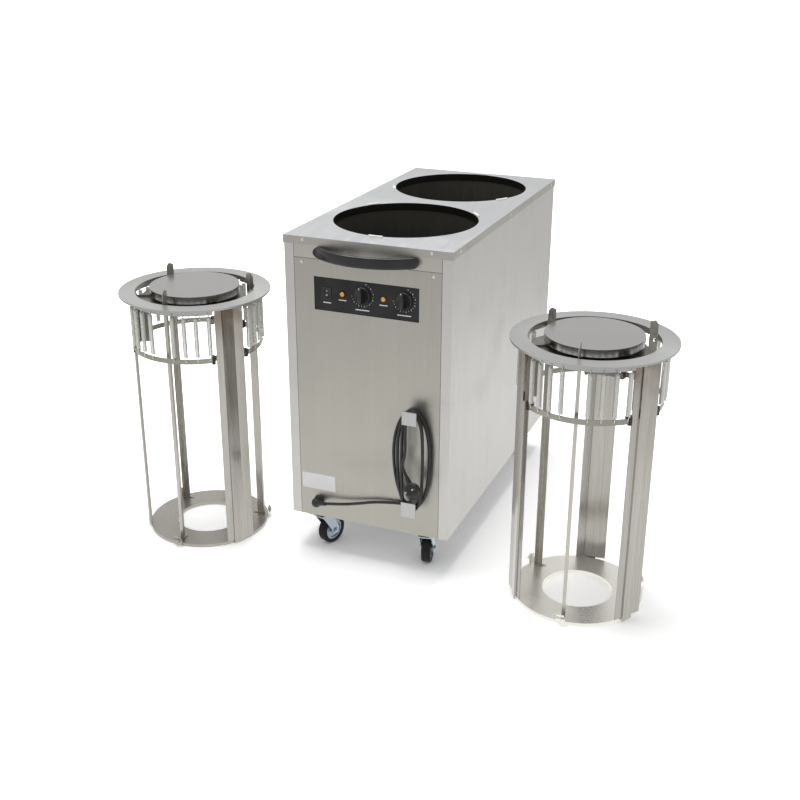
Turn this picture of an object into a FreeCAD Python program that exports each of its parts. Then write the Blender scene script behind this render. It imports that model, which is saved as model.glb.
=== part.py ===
import FreeCAD, Part
import math
import os

# Two-tube heated plate dispenser cart: a closed steel cabinet on four swivel casters, with two
# round wells in its deck, and the two lowering tubes that hang in them, standing beside it.
# Millimetres. The model is drawn in the cabinet's frame: X across the front, the front face on
# Y = 0 with the cabinet behind it, Z up from the floor. SHIFT moves it to the part's own frame.

V = FreeCAD.Vector
UP = V(0, 0, 1)

# ---------------------------------------------------------------- driving dimensions
CABINET_WIDTH = 450.0
CABINET_DEPTH = 908.0
DECK_TOP = 887.4
BODY_BOTTOM = 110.0
SHEET = 1.5
HALF = CABINET_WIDTH / 2
DECK_UNDER = DECK_TOP - SHEET
SKIRT_HEIGHT = 20.4
SKIRT_PROUD = 2.0
CORNER_FLANGE = 26.0
SEAM = 1.0
FOLD = 12.0

WELL_X = 0.0
WELL_Y = (260.5, 692.0)
WELL_NAMES = ("front_well", "rear_well")
WELL_R = 190.4
COLLAR_DEPTH = 20.0
CAN_GAP = 1.5
CAN_WALL = 1.0
CAN_FLOOR_Z = 150.0

PANEL_SEAM_Z = 832.5
FASCIA = (-144.0, 140.0, 700.5, 788.0)
FASCIA_THICK = 2.0
SWITCH_AT = (-109.0, 747.0)
LAMPS_AT = ((-66.6, 748.6), (45.0, 749.0))
KNOBS_AT = ((-12.0, 752.0), (100.0, 752.0))
KNOB_R = 23.0
SPINDLE_R = 3.0
RUNNING_GAP = 0.06

HANDLE_Z = 852.0
HANDLE_TALL = 28.0
HANDLE_THICK = 13.0
HANDLE_END = 140.0
HANDLE_REACH = 58.0
HANDLE_BOW_R = 206.0

HOOK_REACH = 45.0
HOOK_SHEET = 2.0
HOOK_STEM = 14.0
HOOK_PLATES = ((111.5, 151.5, 182.0, 223.0), (113.0, 152.0, 441.6, 477.6))
HOOK_SHELVES = (206.5, 459.0)

CORD_R = 4.0
HANK_X = 131.5
HANK_TOP = 466.0
HANK_BOTTOM = 197.3
HANK_MID = 350.0
HANK_PITCH = 8.5
HANK_FIRST_Y = -6.0
HANK_RIGHT = (174.3, 177.5, 161.8, 165.0)
HANK_LEFT = (76.5, 91.0, 106.0)
HANK_END_R = 19.0

GLAND_AT = (-146.0, 157.0)
LABEL_AT = (-145.0, 212.7)
LABEL_SIZE = (97.0, 45.0)

WHEEL_R = 40.0
WHEEL_WIDE = 25.0
TRAIL = 30.0
CASTERS = {
    "front_left": (-152.0, 36.0, -20.0),
    "front_right": (152.0, 36.0, 11.0),
    "rear_left": (-152.0, 872.0, 172.0),
    "rear_right": (152.0, 872.0, 192.0),
}

TUBES = {"left": (-523.0, 45.0), "right": (562.0, 66.0)}
FLANGE_OUT = 201.6
FLANGE_IN = 158.5
FLANGE_TOP = 699.0
TUBE_SHEET = 2.0
BASE_OUT = 167.0
BASE_IN = 90.2
BASE_TOP = 9.0
DISC_R = 119.8
DISC_TOP = 710.0
DISC_RIM = 19.0
RAIL_AZIMUTHS = (-27.0, 90.0, 207.0)
RAIL_OUT = 171.0
RAIL_STRIP = ((158.8, -42.8), (165.3, -24.5))
RAIL_WEB = (-26.0, 7.5)
RAIL_FACET = (174.5, 33.0)
RAIL_FACET_LOW = 10.0
GUIDE_AZIMUTHS = (-90.0, 30.0, 150.0)
GUIDE_TURNS = {"left": (0.0, -25.0, 45.0), "right": (0.0, -13.0, 30.0)}
GUIDE_IN = 136.5
GUIDE_LEG = 8.0
GUIDE_PIVOT_R = 154.0
GUIDE_TOP = 735.0
SPRING_ANGLES = {
    -90.0: (-39.0, -30.0, -20.0, -10.0, 11.0, 21.0, 31.0, 42.0),
    30.0: (-39.0, -30.0, -20.0, -10.0, 11.0, 21.0, 31.0, 42.0),
    150.0: (-38.5, -30.0, -20.0, -10.0, 10.0, 20.0, 30.0, 39.0),
}
SPRING_CIRCLE = 176.0
SPRING_R = 6.0
SPRING_TOP = 672.0
SPRING_LOW = 565.0
HANGER_Z = 684.0
BAND_Z = (545.0, 559.0)
BAND_R = 173.0
BAND_ENDS = {-90.0: (-46.0, 46.0), 30.0: (-44.0, 46.0), 150.0: (-44.0, 44.0)}
BLOCK_HALF = 4.0
BLOCK_INSET = 1.4
CARRIER_LOW = 552.0
CARRIER_PLATE_R = 148.0
CARRIER_PLATE_FLAT = 126.0
CARRIER_PLATE_TOP = 678.0
CARRIER_RING = (158.0, 160.5)

LEFT_EDGE = TUBES["left"][0] - FLANGE_OUT
RIGHT_EDGE = TUBES["right"][0] + FLANGE_OUT
FRONT_EDGE = TUBES["left"][1] - FLANGE_OUT
BACK_EDGE = CABINET_DEPTH + SKIRT_PROUD
SHIFT = V(-(LEFT_EDGE + RIGHT_EDGE) / 2, -(FRONT_EDGE + BACK_EDGE) / 2, 0)

os.makedirs("parts", exist_ok=True)


# ---------------------------------------------------------------- shapes
def save(name, *shapes):
    """Write one node, moved to the part's own frame."""
    shape = shapes[0] if len(shapes) == 1 else Part.makeCompound(list(shapes))
    shape = shape.copy()
    shape.translate(SHIFT)
    solids = shape.Solids
    if not shape.isValid() or not solids:
        print("NOT VALID", name)
    shape.exportStep("parts/" + name + ".step")
    print(name, len(solids), "solids", round(shape.Volume / 1000, 2), "cm3")


def box(x0, x1, y0, y1, z0, z1):
    return Part.makeBox(x1 - x0, y1 - y0, z1 - z0, V(x0, y0, z0))


def rod(radius, start, end):
    """A cylinder from one point to another."""
    line = V(*end) - V(*start)
    return Part.makeCylinder(radius, line.Length, V(*start), line)


def tube(inner, outer, z0, z1, x=0.0, y=0.0):
    return rod(outer, (x, y, z0), (x, y, z1)).cut(rod(inner, (x, y, z0 - 1), (x, y, z1 + 1)))


def fused(shapes):
    first, rest = shapes[0], list(shapes[1:])
    return first.fuse(rest).removeSplitter() if rest else first


def turned(shape, degrees, x=0.0, y=0.0):
    """A copy turned about the vertical through (x, y)."""
    copy = shape.copy()
    copy.rotate(V(x, y, 0), UP, degrees)
    return copy


def moved(shape, x, y, z=0.0):
    copy = shape.copy()
    copy.translate(V(x, y, z))
    return copy


def mirrored(shape):
    """The same piece on the other side of the cabinet's middle plane."""
    return shape.mirror(V(0, 0, 0), V(1, 0, 0))


def prism(points, push):
    """A polygon pushed along a vector."""
    ring = [V(*p) for p in points]
    return Part.Face(Part.makePolygon(ring + ring[:1])).extrude(V(*push))


def sector(inner, outer, z0, z1, start, end):
    """Part of a ring between two azimuths."""
    wedge = Part.makeCylinder(outer, z1 - z0, V(0, 0, z0), UP, end - start)
    hole = Part.makeCylinder(inner, z1 - z0 + 2, V(0, 0, z0 - 1), UP, 360)
    return turned(wedge, start).cut(hole)


def rounded_plate(x0, x1, z0, z1, y0, y1, radius):
    """An upright plate with rounded corners."""
    plate = box(x0, x1, y0, y1, z0, z1)
    corners = [e for e in plate.Edges if abs(e.tangentAt(e.FirstParameter).y) > 0.9]
    return plate.makeFillet(radius, corners)


# ---------------------------------------------------------------- cabinet body
def deck():
    """Folded top sheet with a skirt all round and a turned-down collar at each well."""
    out = HALF + SKIRT_PROUD
    low = DECK_TOP - SKIRT_HEIGHT
    body = box(-out, out, -SKIRT_PROUD, BACK_EDGE, low, DECK_TOP)
    room = box(-HALF, HALF, 0, CABINET_DEPTH, low - 1, DECK_UNDER)
    sheet = body.cut(room)
    for y in WELL_Y:
        neck = rod(WELL_R + CAN_GAP, (WELL_X, y, DECK_TOP - COLLAR_DEPTH), (WELL_X, y, DECK_UNDER))
        sheet = sheet.fuse(neck)
    for y in WELL_Y:
        sheet = sheet.cut(rod(WELL_R, (WELL_X, y, low - 10), (WELL_X, y, DECK_TOP + 1)))
    return sheet.removeSplitter()


def side_panel():
    """Right-hand side sheet, folded round both corners, with a stiffening return on each."""
    inner = HALF - SHEET
    edge = HALF - CORNER_FLANGE
    parts = [box(inner, HALF, 0, CABINET_DEPTH, BODY_BOTTOM, DECK_UNDER)]
    for y0, y1 in ((0, SHEET), (CABINET_DEPTH - SHEET, CABINET_DEPTH)):
        parts.append(box(edge, inner, y0, y1, BODY_BOTTOM, DECK_UNDER))
    for y0, y1 in ((SHEET, FOLD), (CABINET_DEPTH - FOLD, CABINET_DEPTH - SHEET)):
        parts.append(box(edge, edge + SHEET, y0, y1, BODY_BOTTOM, DECK_UNDER))
    return fused(parts)


def folded_panel(x1, z0, z1):
    """A front sheet with a return fold on all four edges."""
    sheet = box(-x1, x1, 0, FOLD, z0, z1)
    return sheet.cut(box(-x1 + SHEET, x1 - SHEET, SHEET, FOLD + 1, z0 + SHEET, z1 - SHEET))


def front_panel():
    """Large front sheet with the fascia's window and the gland's hole."""
    x1 = HALF - CORNER_FLANGE - SEAM
    panel = folded_panel(x1, BODY_BOTTOM, PANEL_SEAM_Z - SEAM / 2)
    window = box(FASCIA[0], FASCIA[1], -1, SHEET + 1, FASCIA[2], FASCIA[3])
    gland_hole = rod(8, (GLAND_AT[0], -1, GLAND_AT[1]), (GLAND_AT[0], 5, GLAND_AT[1]))
    return panel.cut(window).cut(gland_hole)


def handle_panel():
    x1 = HALF - CORNER_FLANGE - SEAM
    return folded_panel(x1, PANEL_SEAM_Z + SEAM / 2, DECK_UNDER)


def back_panel():
    x1 = HALF - CORNER_FLANGE - SEAM
    panel = folded_panel(x1, BODY_BOTTOM, DECK_UNDER)
    panel.rotate(V(0, CABINET_DEPTH / 2, 0), UP, 180)
    return panel


def inner_frame():
    """Welded tray floor with a corner upright at each corner."""
    x1 = HALF - SHEET
    y0 = FOLD + SEAM
    y1 = CABINET_DEPTH - FOLD - SEAM
    tray = box(-x1, x1, y0, y1, BODY_BOTTOM, BODY_BOTTOM + 32)
    room = box(-x1 + 2, x1 - 2, y0 + 2, y1 - 2, BODY_BOTTOM + 2, BODY_BOTTOM + 40)
    tray = tray.cut(room)
    posts = []
    leg = 22.0
    for sx in (-1, 1):
        for y, sy in ((y0 + 2, 1), (y1 - 2, -1)):
            x = sx * (x1 - 2)
            a = box(min(x, x - sx * leg), max(x, x - sx * leg), min(y, y + sy * 2), max(y, y + sy * 2),
                    BODY_BOTTOM + 2, DECK_UNDER)
            b = box(min(x, x - sx * 2), max(x, x - sx * 2), min(y, y + sy * leg), max(y, y + sy * leg),
                    BODY_BOTTOM + 2, DECK_UNDER)
            posts.append(a.fuse(b))
    return fused([tray] + posts)


def well_can(y):
    """Open-topped can that hangs under the deck, with a rim flange and a flat floor."""
    inner = WELL_R + CAN_GAP
    wall = tube(inner, inner + CAN_WALL, CAN_FLOOR_Z, DECK_UNDER, WELL_X, y)
    rim = tube(inner, inner + 12, DECK_UNDER - CAN_WALL, DECK_UNDER, WELL_X, y)
    floor = tube(40, inner + CAN_WALL, CAN_FLOOR_Z, CAN_FLOOR_Z + SHEET, WELL_X, y)
    return fused([wall, rim, floor])


def heating_ring(y):
    """Ring element on three feet above the well's floor."""
    z = CAN_FLOOR_Z + 18
    ring = Part.makeTorus(125, 4.25, V(WELL_X, y, z))
    feet = []
    for k in range(3):
        foot = rod(3, (125, 0, CAN_FLOOR_Z + SHEET), (125, 0, z))
        feet.append(moved(turned(foot, 120 * k + 30), WELL_X, y))
    return fused([ring] + feet)


def rim_clips():
    """Thin strips on the deck round each well that steady the tube's flange."""
    clips = []
    for y, angles in ((WELL_Y[0], (-91, 38, 139)), (WELL_Y[1], (-34, 90, 205))):
        for a in angles:
            clip = sector(WELL_R + 1.6, WELL_R + 8.6, DECK_TOP, DECK_TOP + 2.5, a - 5.6, a + 5.6)
            clips.append(moved(clip, WELL_X, y))
    return clips


def screw(x, y, z, out):
    """Low round head, lying outward along a direction."""
    head = Part.makeCylinder(4, 1.6, V(x, y, z), V(*out))
    rim = [e for e in head.Edges if e.Closed and (e.CenterOfMass - V(x, y, z)).Length > 1]
    return head.makeFillet(1.0, rim)


def screws():
    heads = []
    for s in (-1, 1):
        heads.append(screw(s * 172, -SKIRT_PROUD, 879, (0, -1, 0)))
        heads.append(screw(s * 172, BACK_EDGE, 879, (0, 1, 0)))
        heads.append(screw(s * 177, 0, 821.5, (0, -1, 0)))
        for z in (135, 490, 845):
            heads.append(screw(s * 177, CABINET_DEPTH, z, (0, 1, 0)))
        for y in (48, 450, 864):
            heads.append(screw(s * (HALF + SKIRT_PROUD), y, 878, (s, 0, 0)))
    return heads


# ---------------------------------------------------------------- controls
def fascia():
    """Dark plate behind the front panel's window, with a hole for each control."""
    plate = box(FASCIA[0] - 6, FASCIA[1] + 6, SHEET, SHEET + FASCIA_THICK, FASCIA[2] - 6, FASCIA[3] + 6)
    x, z = SWITCH_AT
    plate = plate.cut(box(x - 8.5, x + 8.5, 0, 9, z - 12.5, z + 12.5))
    for x, z in LAMPS_AT:
        plate = plate.cut(rod(6.1, (x, 0, z), (x, 9, z)))
    for x, z in KNOBS_AT:
        plate = plate.cut(rod(4.5, (x, 0, z), (x, 9, z)))
    return plate


def switchgear():
    """Switch housing with its bezel, and a thermostat body behind each knob."""
    x, z = SWITCH_AT
    bezel = rounded_plate(x - 12, x + 12, z - 16, z + 16, -0.5, SHEET, 2.0)
    housing = bezel.fuse(box(x - 8.5, x + 8.5, SHEET, 24, z - 12.5, z + 12.5))
    housing = housing.cut(box(x - 7.5, x + 7.5, -2, 22, z - 11.5, z + 11.5))
    housing = housing.cut(rod(1.5 + RUNNING_GAP, (x - 8.2, 3.5, z), (x + 8.2, 3.5, z)))
    back = SHEET + FASCIA_THICK
    bodies = [housing]
    for x, z in KNOBS_AT:
        body = box(x - 21, x + 21, back, back + 28, z - 21, z + 21)
        bodies.append(body.cut(rod(SPINDLE_R + RUNNING_GAP, (x, 0, z), (x, 17, z))))
    return bodies


def rocker():
    """Rocker with its lower half pressed in, on a cross pin."""
    x, z = SWITCH_AT
    y = 3.5
    outline = ((-4, 10.3), (-2.2, 0), (-4, -10.3), (3, -8.5), (4.5, 0), (3, 8.5))
    points = [(x - 7.2, y + dy, z + dz) for dy, dz in outline]
    key = prism(points, (14.4, 0, 0))
    pin = rod(1.5, (x - 8.0, y, z), (x + 8.0, y, z))
    key = key.fuse(pin)
    key.rotate(V(x, y, z), V(1, 0, 0), -8)
    return key


def lamps():
    pieces = []
    for x, z in LAMPS_AT:
        stem = rod(6.0, (x, SHEET, z), (x, 20, z))
        rim = rod(7.4, (x, -0.5, z), (x, SHEET, z))
        dome = Part.makeSphere(9.5, V(x, 5.5, z)).common(rod(6.0, (x, -8, z), (x, -0.5, z)))
        pieces.append(fused([rim, stem, dome]))
    return pieces


def knob(x, z):
    """Round skirt with a raised finger bar and the spindle behind it."""
    skirt = Part.makeCone(KNOB_R, KNOB_R - 1.5, 6, V(x, 0.5, z), V(0, -1, 0))
    half, tall = 6.0, KNOB_R - 3
    low = z - tall
    points = ((x - half, -5.5, low), (x + half, -5.5, low), (x + half - 1.5, -19, low), (x - half + 1.5, -19, low))
    bar = prism(points, (0, 0, 2 * tall))
    bar = bar.common(Part.makeCone(KNOB_R - 1.6, KNOB_R - 4.5, 16, V(x, -4, z), V(0, -1, 0)))
    stem = rod(SPINDLE_R, (x, 0.5, z), (x, 16.5, z))
    return fused([skirt, bar, stem])


# ---------------------------------------------------------------- handle, hooks, gland
def push_handle():
    """Bowed bar with a flat foot at each end, cut to a rounded outline seen from the front."""
    foot_r = 10.0
    half = HANDLE_THICK / 2
    bow_y = HANDLE_BOW_R - (HANDLE_REACH - half)
    small_y = -half - foot_r
    small_x = math.sqrt((HANDLE_BOW_R + foot_r) ** 2 - (bow_y - small_y) ** 2)
    span = HANDLE_BOW_R + foot_r
    z0 = HANDLE_Z - HANDLE_TALL / 2

    def meet(radius, side):
        return V(side * small_x * radius / span, bow_y + (small_y - bow_y) * radius / span, z0)

    def foot(offset, side):
        """Foot's flat end, where its arc starts, and that arc's middle and end."""
        radius = foot_r + offset
        start = V(side * small_x, small_y + radius, z0)
        end = meet(HANDLE_BOW_R - offset, side)
        middle = (start + end) * 0.5 - V(side * small_x, small_y, z0)
        return start, V(side * small_x, small_y, z0) + middle.normalize() * radius, end

    def side_line(offset):
        y = -half + offset
        a, am, b = foot(offset, -1)
        d, dm, c = foot(offset, 1)
        top = V(0, bow_y - (HANDLE_BOW_R - offset), z0)
        return [Part.LineSegment(V(-HANDLE_END, y, z0), a).toShape(), Part.Arc(a, am, b).toShape(),
                Part.Arc(b, top, c).toShape(), Part.Arc(c, dm, d).toShape(),
                Part.LineSegment(d, V(HANDLE_END, y, z0)).toShape()]

    ends = [Part.LineSegment(V(s * HANDLE_END, 0, z0), V(s * HANDLE_END, -HANDLE_THICK, z0)).toShape()
            for s in (-1, 1)]
    ring = Part.Wire(Part.__sortEdges__(side_line(half) + side_line(-half) + ends))
    bar = Part.Face(ring).extrude(V(0, 0, HANDLE_TALL))
    r = HANDLE_TALL / 2
    pill = box(-HANDLE_END + r, HANDLE_END - r, -99, 0, z0, z0 + HANDLE_TALL)
    for s in (-1, 1):
        x = s * (HANDLE_END - r)
        pill = pill.fuse(rod(r, (x, -99, HANDLE_Z), (x, 0, HANDLE_Z)))
    bar = bar.common(pill.removeSplitter())
    long_edges = [e for e in bar.Edges if e.Length > 150]
    return bar.makeFillet(4.5, long_edges)


def cord_hook(plate, shelf_z, foot_up):
    """Bent strip: foot on the panel, shelf, and a square plate in front."""
    x0, x1, z0, z1 = plate
    mid = (x0 + x1) / 2
    left, right = mid - HOOK_STEM / 2, mid + HOOK_STEM / 2
    shelf = box(left, right, -HOOK_REACH + HOOK_SHEET, 0, shelf_z - HOOK_SHEET, shelf_z)
    face = rounded_plate(x0, x1, z0, z1, -HOOK_REACH, -HOOK_REACH + HOOK_SHEET, 1.5)
    if foot_up:
        foot = box(left, right, -1.2, 0, shelf_z, shelf_z + 26)
    else:
        foot = box(left, right, -1.2, 0, shelf_z - HOOK_SHEET - 26, shelf_z - HOOK_SHEET)
    return fused([shelf, face, foot])


def cable_gland():
    """Nut on the panel, domed elbow, and a sleeve to the right that the cord leaves."""
    x, z = GLAND_AT
    nut = rod(15, (x, 0, z), (x, -5, z))
    neck = rod(13, (x, -5, z), (x, -17, z))
    dome = Part.makeSphere(13, V(x, -17, z))
    sleeve = rod(6.5, (x, -19, z + 1), GLAND_MOUTH)
    tail = rod(7.5, (x, 0, z), (x, 14, z))
    body = fused([nut, neck, dome, sleeve, tail])
    back_nut = rod(12, (x, SHEET, z), (x, 7, z)).cut(rod(7.5, (x, 0, z), (x, 9, z)))
    return [body.cut(rod(CORD_R, GLAND_CORE, GLAND_MOUTH)), back_nut]


# ---------------------------------------------------------------- cord
LEAD = (
    (-124.0, -24.0, 162.0),
    (-94.0, -21.6, 165.6),
    (-58.0, -18.8, 170.6),
    (-20.0, -15.6, 179.0),
    (20.0, -12.2, 189.6),
    (58.0, -9.4, 194.8),
    (92.0, -7.0, 198.0),
    (112.0, -6.0, 198.1),
)
GLAND_MOUTH = LEAD[0]
GLAND_CORE = (-134.0, -23.4, 160.8)


def arc_path(points):
    """Straight runs joined by tangent arcs, and the smallest arc's radius."""
    pts = [V(*p) for p in points]
    edges = []
    smallest = 1e9
    at = pts[0]
    for i in range(1, len(pts) - 1):
        back = pts[i - 1] - pts[i]
        ahead = pts[i + 1] - pts[i]
        cut = 0.45 * min(back.Length, ahead.Length)
        back.normalize()
        ahead.normalize()
        turn = math.pi - back.getAngle(ahead)
        radius = cut / math.tan(turn / 2)
        smallest = min(smallest, radius)
        bisector = back + ahead
        bisector.normalize()
        middle = pts[i] + bisector * (radius / math.cos(turn / 2) - radius)
        start, end = pts[i] + back * cut, pts[i] + ahead * cut
        edges.append(Part.LineSegment(at, start).toShape())
        edges.append(Part.Arc(start, middle, end).toShape())
        at = end
    edges.append(Part.LineSegment(at, pts[-1]).toShape())
    return edges, smallest


def swept(edges, radius):
    """Round tube along a path of tangent edges."""
    start = edges[0].valueAt(edges[0].FirstParameter)
    ahead = edges[0].tangentAt(edges[0].FirstParameter)
    ring = Part.Wire(Part.makeCircle(radius, start, ahead))
    return Part.Wire(edges).makePipeShell([ring], True, False)


def biarc(p0, t0, p1, t1, first=None):
    """Two tangent arcs from p0 to p1, as points; first sets the first arc's tangent length."""
    chord = p1 - p0
    if first is None:
        lead = chord.dot(t0 + t1)
        spread = 2 * (1 - t0.dot(t1))
        first = (-lead + math.sqrt(lead * lead + spread * chord.dot(chord))) / spread
    second = (chord.dot(chord) / 2 - first * chord.dot(t0)) / (chord.dot(t1) + first * (1 - t0.dot(t1)))
    q0 = p0 + t0 * first
    q1 = p1 - t1 * second
    joint = q0 + (q1 - q0) * (first / (first + second))
    across = joint - q0
    across.normalize()
    return [tangent_arc(p0, t0, joint), tangent_arc(joint, across, p1)]


def tangent_arc(start, tangent, end):
    """Start, middle and end of the arc that leaves start along tangent."""
    chord = end - start
    along = chord.dot(tangent)
    side = chord - tangent * along
    half_turn = math.atan2(side.Length, along)
    radius = chord.Length / (2 * math.sin(half_turn))
    side.normalize()
    centre = start + side * radius
    middle = centre + (side * -math.cos(half_turn) + tangent * math.sin(half_turn)) * radius
    return start, middle, end


def end_tangent(half_width, half_height, end_r):
    """Tangent length of the small end arc where it meets the large side arc."""
    side_r = (half_width ** 2 + half_height ** 2 - 2 * half_height * end_r) / (2 * (half_width - end_r))
    turn = math.atan2(side_r - half_width, half_height - end_r)
    return end_r * math.tan(turn / 2)


def quarter(arcs, end, extreme, to_extreme):
    """Quarter loop between a hook end and a side extreme, each (point, tangent)."""
    half_width = abs(extreme[0].x - end[0].x)
    half_height = abs(extreme[0].z - end[0].z)
    small = end_tangent(half_width, half_height, min(HANK_END_R, 0.72 * half_width))
    if to_extreme:
        arcs += biarc(end[0], end[1], extreme[0], extreme[1], small)
    else:
        pieces = biarc(end[0], end[1] * -1, extreme[0], extreme[1] * -1, small)
        arcs += [arc[::-1] for arc in reversed(pieces)]


def hank_path():
    """Three turns round both hooks and a last half turn that drops to the plug."""
    start = V(*LEAD[-1])
    ahead = start - V(*LEAD[-2])
    ahead.normalize()
    y = HANK_FIRST_Y
    bottom = (V(HANK_X, y, HANK_BOTTOM), V(1, 0, 0))
    arcs = biarc(start, ahead, bottom[0], bottom[1])
    climb = HANK_PITCH / (HANK_TOP - HANK_BOTTOM)
    for k, right_x in enumerate(HANK_RIGHT):
        right = (V(right_x, y, HANK_MID), V(0, 0, 1))
        top = (V(HANK_X, y, HANK_TOP), V(-1, 0, 0))
        quarter(arcs, bottom, right, True)
        quarter(arcs, top, right, False)
        if k == len(HANK_LEFT):
            break
        down = V(0, -climb, -1)
        down.normalize()
        left = (V(HANK_LEFT[k], y - HANK_PITCH / 2, HANK_MID), down)
        y -= HANK_PITCH
        bottom = (V(HANK_X, y, HANK_BOTTOM), V(1, 0, 0))
        quarter(arcs, top, left, True)
        quarter(arcs, bottom, left, False)
    steps = (
        (V(117.5, -33.2, 428.0), V(-0.02, -0.05, -1)),
        (V(121.5, -38.5, 356.0), V(0.03, -0.07, -1)),
        (V(*PLUG_NECK_END), V(*PLUG_NECK) * -1),
    )
    here = top
    for point, ahead in steps:
        ahead.normalize()
        arcs += biarc(here[0], here[1], point, ahead)
        here = (point, ahead)
    return [Part.Arc(*arc).toShape() for arc in arcs]


def self_gap(edges, radius, apart):
    """Least gap between stretches of the tube more than apart along it."""
    points = []
    for edge in edges:
        steps = max(2, int(edge.Length / 2))
        points += edge.discretize(steps)[:-1]
    run = [0.0]
    for a, b in zip(points, points[1:]):
        run.append(run[-1] + (b - a).Length)
    least = 1e9
    for i, a in enumerate(points):
        for j in range(i + 1, len(points)):
            if run[j] - run[i] > apart:
                least = min(least, (points[j] - a).Length)
    return least - 2 * radius


# ---------------------------------------------------------------- plug
PLUG_FACE = V(146.0, -62.0, 271.0)
PLUG_AXIS = V(0.04, -0.94, 0.34).normalize()
PLUG_NECK = V(-0.50, -0.05, 0.86)
PLUG_NECK = (PLUG_NECK - PLUG_AXIS * PLUG_NECK.dot(PLUG_AXIS)).normalize()
PLUG_R = 18.8
PLUG_DEEP = 22.0
PLUG_PIN_R = 2.4
PLUG_NECK_LONG = 36.0
PLUG_MIDDLE = PLUG_FACE - PLUG_AXIS * (PLUG_DEEP / 2)
PLUG_NECK_END = tuple(PLUG_MIDDLE + PLUG_NECK * PLUG_NECK_LONG)


def plug():
    """Angled mains plug: round body, two pins, and the cord's sleeve at its side."""
    body = Part.makeCylinder(PLUG_R, PLUG_DEEP, PLUG_FACE, PLUG_AXIS * -1)
    rims = [e for e in body.Edges if e.Closed]
    body = body.makeFillet(2.5, rims)
    sleeve = Part.makeCone(9, 5.6, PLUG_NECK_LONG, PLUG_MIDDLE, PLUG_NECK)
    across = PLUG_AXIS.cross(PLUG_NECK)
    pins = []
    for s in (-1, 1):
        pins.append(Part.makeCylinder(PLUG_PIN_R, 19, PLUG_FACE + across * (9.5 * s), PLUG_AXIS))
    return fused([body, sleeve] + pins)


# ---------------------------------------------------------------- casters
CROWN_TOP = 98.0
PLATE_LOW = BODY_BOTTOM - 2.5


def caster_plate(x, y):
    """Top plate, its bolt heads, the fixed race and the king pin."""
    plate = box(x - 32, x + 32, y - 32, y + 32, PLATE_LOW, BODY_BOTTOM)
    corners = [e for e in plate.Edges if abs(e.tangentAt(e.FirstParameter).z) > 0.9]
    plate = plate.makeFillet(6, corners)
    bolts = []
    for sx in (-1, 1):
        for sy in (-1, 1):
            head = (x + sx * 24, y + sy * 24)
            bolts.append(rod(5, (head[0], head[1], PLATE_LOW - 4), (head[0], head[1], PLATE_LOW)))
    race = Part.makeCone(20, 24, PLATE_LOW - CROWN_TOP - 1, V(x, y, CROWN_TOP + 1))
    pin = rod(5, (x, y, CROWN_TOP - 10), (x, y, CROWN_TOP + 2))
    return fused([plate, race, pin] + bolts)


def fork():
    """Fork at the origin, trailing towards +Y, with its axle bolt; crown bored for the king pin."""
    inner = WHEEL_WIDE / 2 + 3
    wall = 2.5
    crown = box(-inner - wall, inner + wall, -22, 22, CROWN_TOP - 3, CROWN_TOP)
    crown = crown.cut(rod(5 + RUNNING_GAP, (0, 0, 80), (0, 0, 110)))
    outline = ((-20, CROWN_TOP), (20, CROWN_TOP), (TRAIL + 13, WHEEL_R + 4), (TRAIL + 9, WHEEL_R - 10),
               (TRAIL - 9, WHEEL_R - 10), (TRAIL - 16, WHEEL_R + 8))
    parts = [crown]
    for x in (-inner - wall, inner):
        parts.append(prism([(x, y, z) for y, z in outline], (wall, 0, 0)))
    parts.append(rod(4, (-inner - wall - 5, TRAIL, WHEEL_R), (inner + wall + 5, TRAIL, WHEEL_R)))
    for s in (-1, 1):
        a = s * (inner + wall)
        parts.append(rod(7, (a, TRAIL, WHEEL_R), (a + s * 4, TRAIL, WHEEL_R)))
    return fused(parts)


def wheel():
    """Wheel centre with a bore that runs on the axle bolt and a hub on each side."""
    half = WHEEL_WIDE / 2
    core = rod(29, (-half + 2, TRAIL, WHEEL_R), (half - 2, TRAIL, WHEEL_R))
    hub = rod(10, (-half - 2.5, TRAIL, WHEEL_R), (half + 2.5, TRAIL, WHEEL_R))
    dish = rod(24, (half - 5, TRAIL, WHEEL_R), (half, TRAIL, WHEEL_R))
    core = core.cut(dish).cut(moved(dish, -WHEEL_WIDE + 5, 0))
    return core.fuse(hub).cut(rod(4 + RUNNING_GAP, (-40, TRAIL, WHEEL_R), (40, TRAIL, WHEEL_R)))


def tyre():
    half = WHEEL_WIDE / 2
    band = rod(WHEEL_R, (-half, TRAIL, WHEEL_R), (half, TRAIL, WHEEL_R))
    rims = [e for e in band.Edges if e.Closed]
    band = band.makeFillet(4, rims)
    return band.cut(rod(29, (-half - 1, TRAIL, WHEEL_R), (half + 1, TRAIL, WHEEL_R)))


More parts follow.
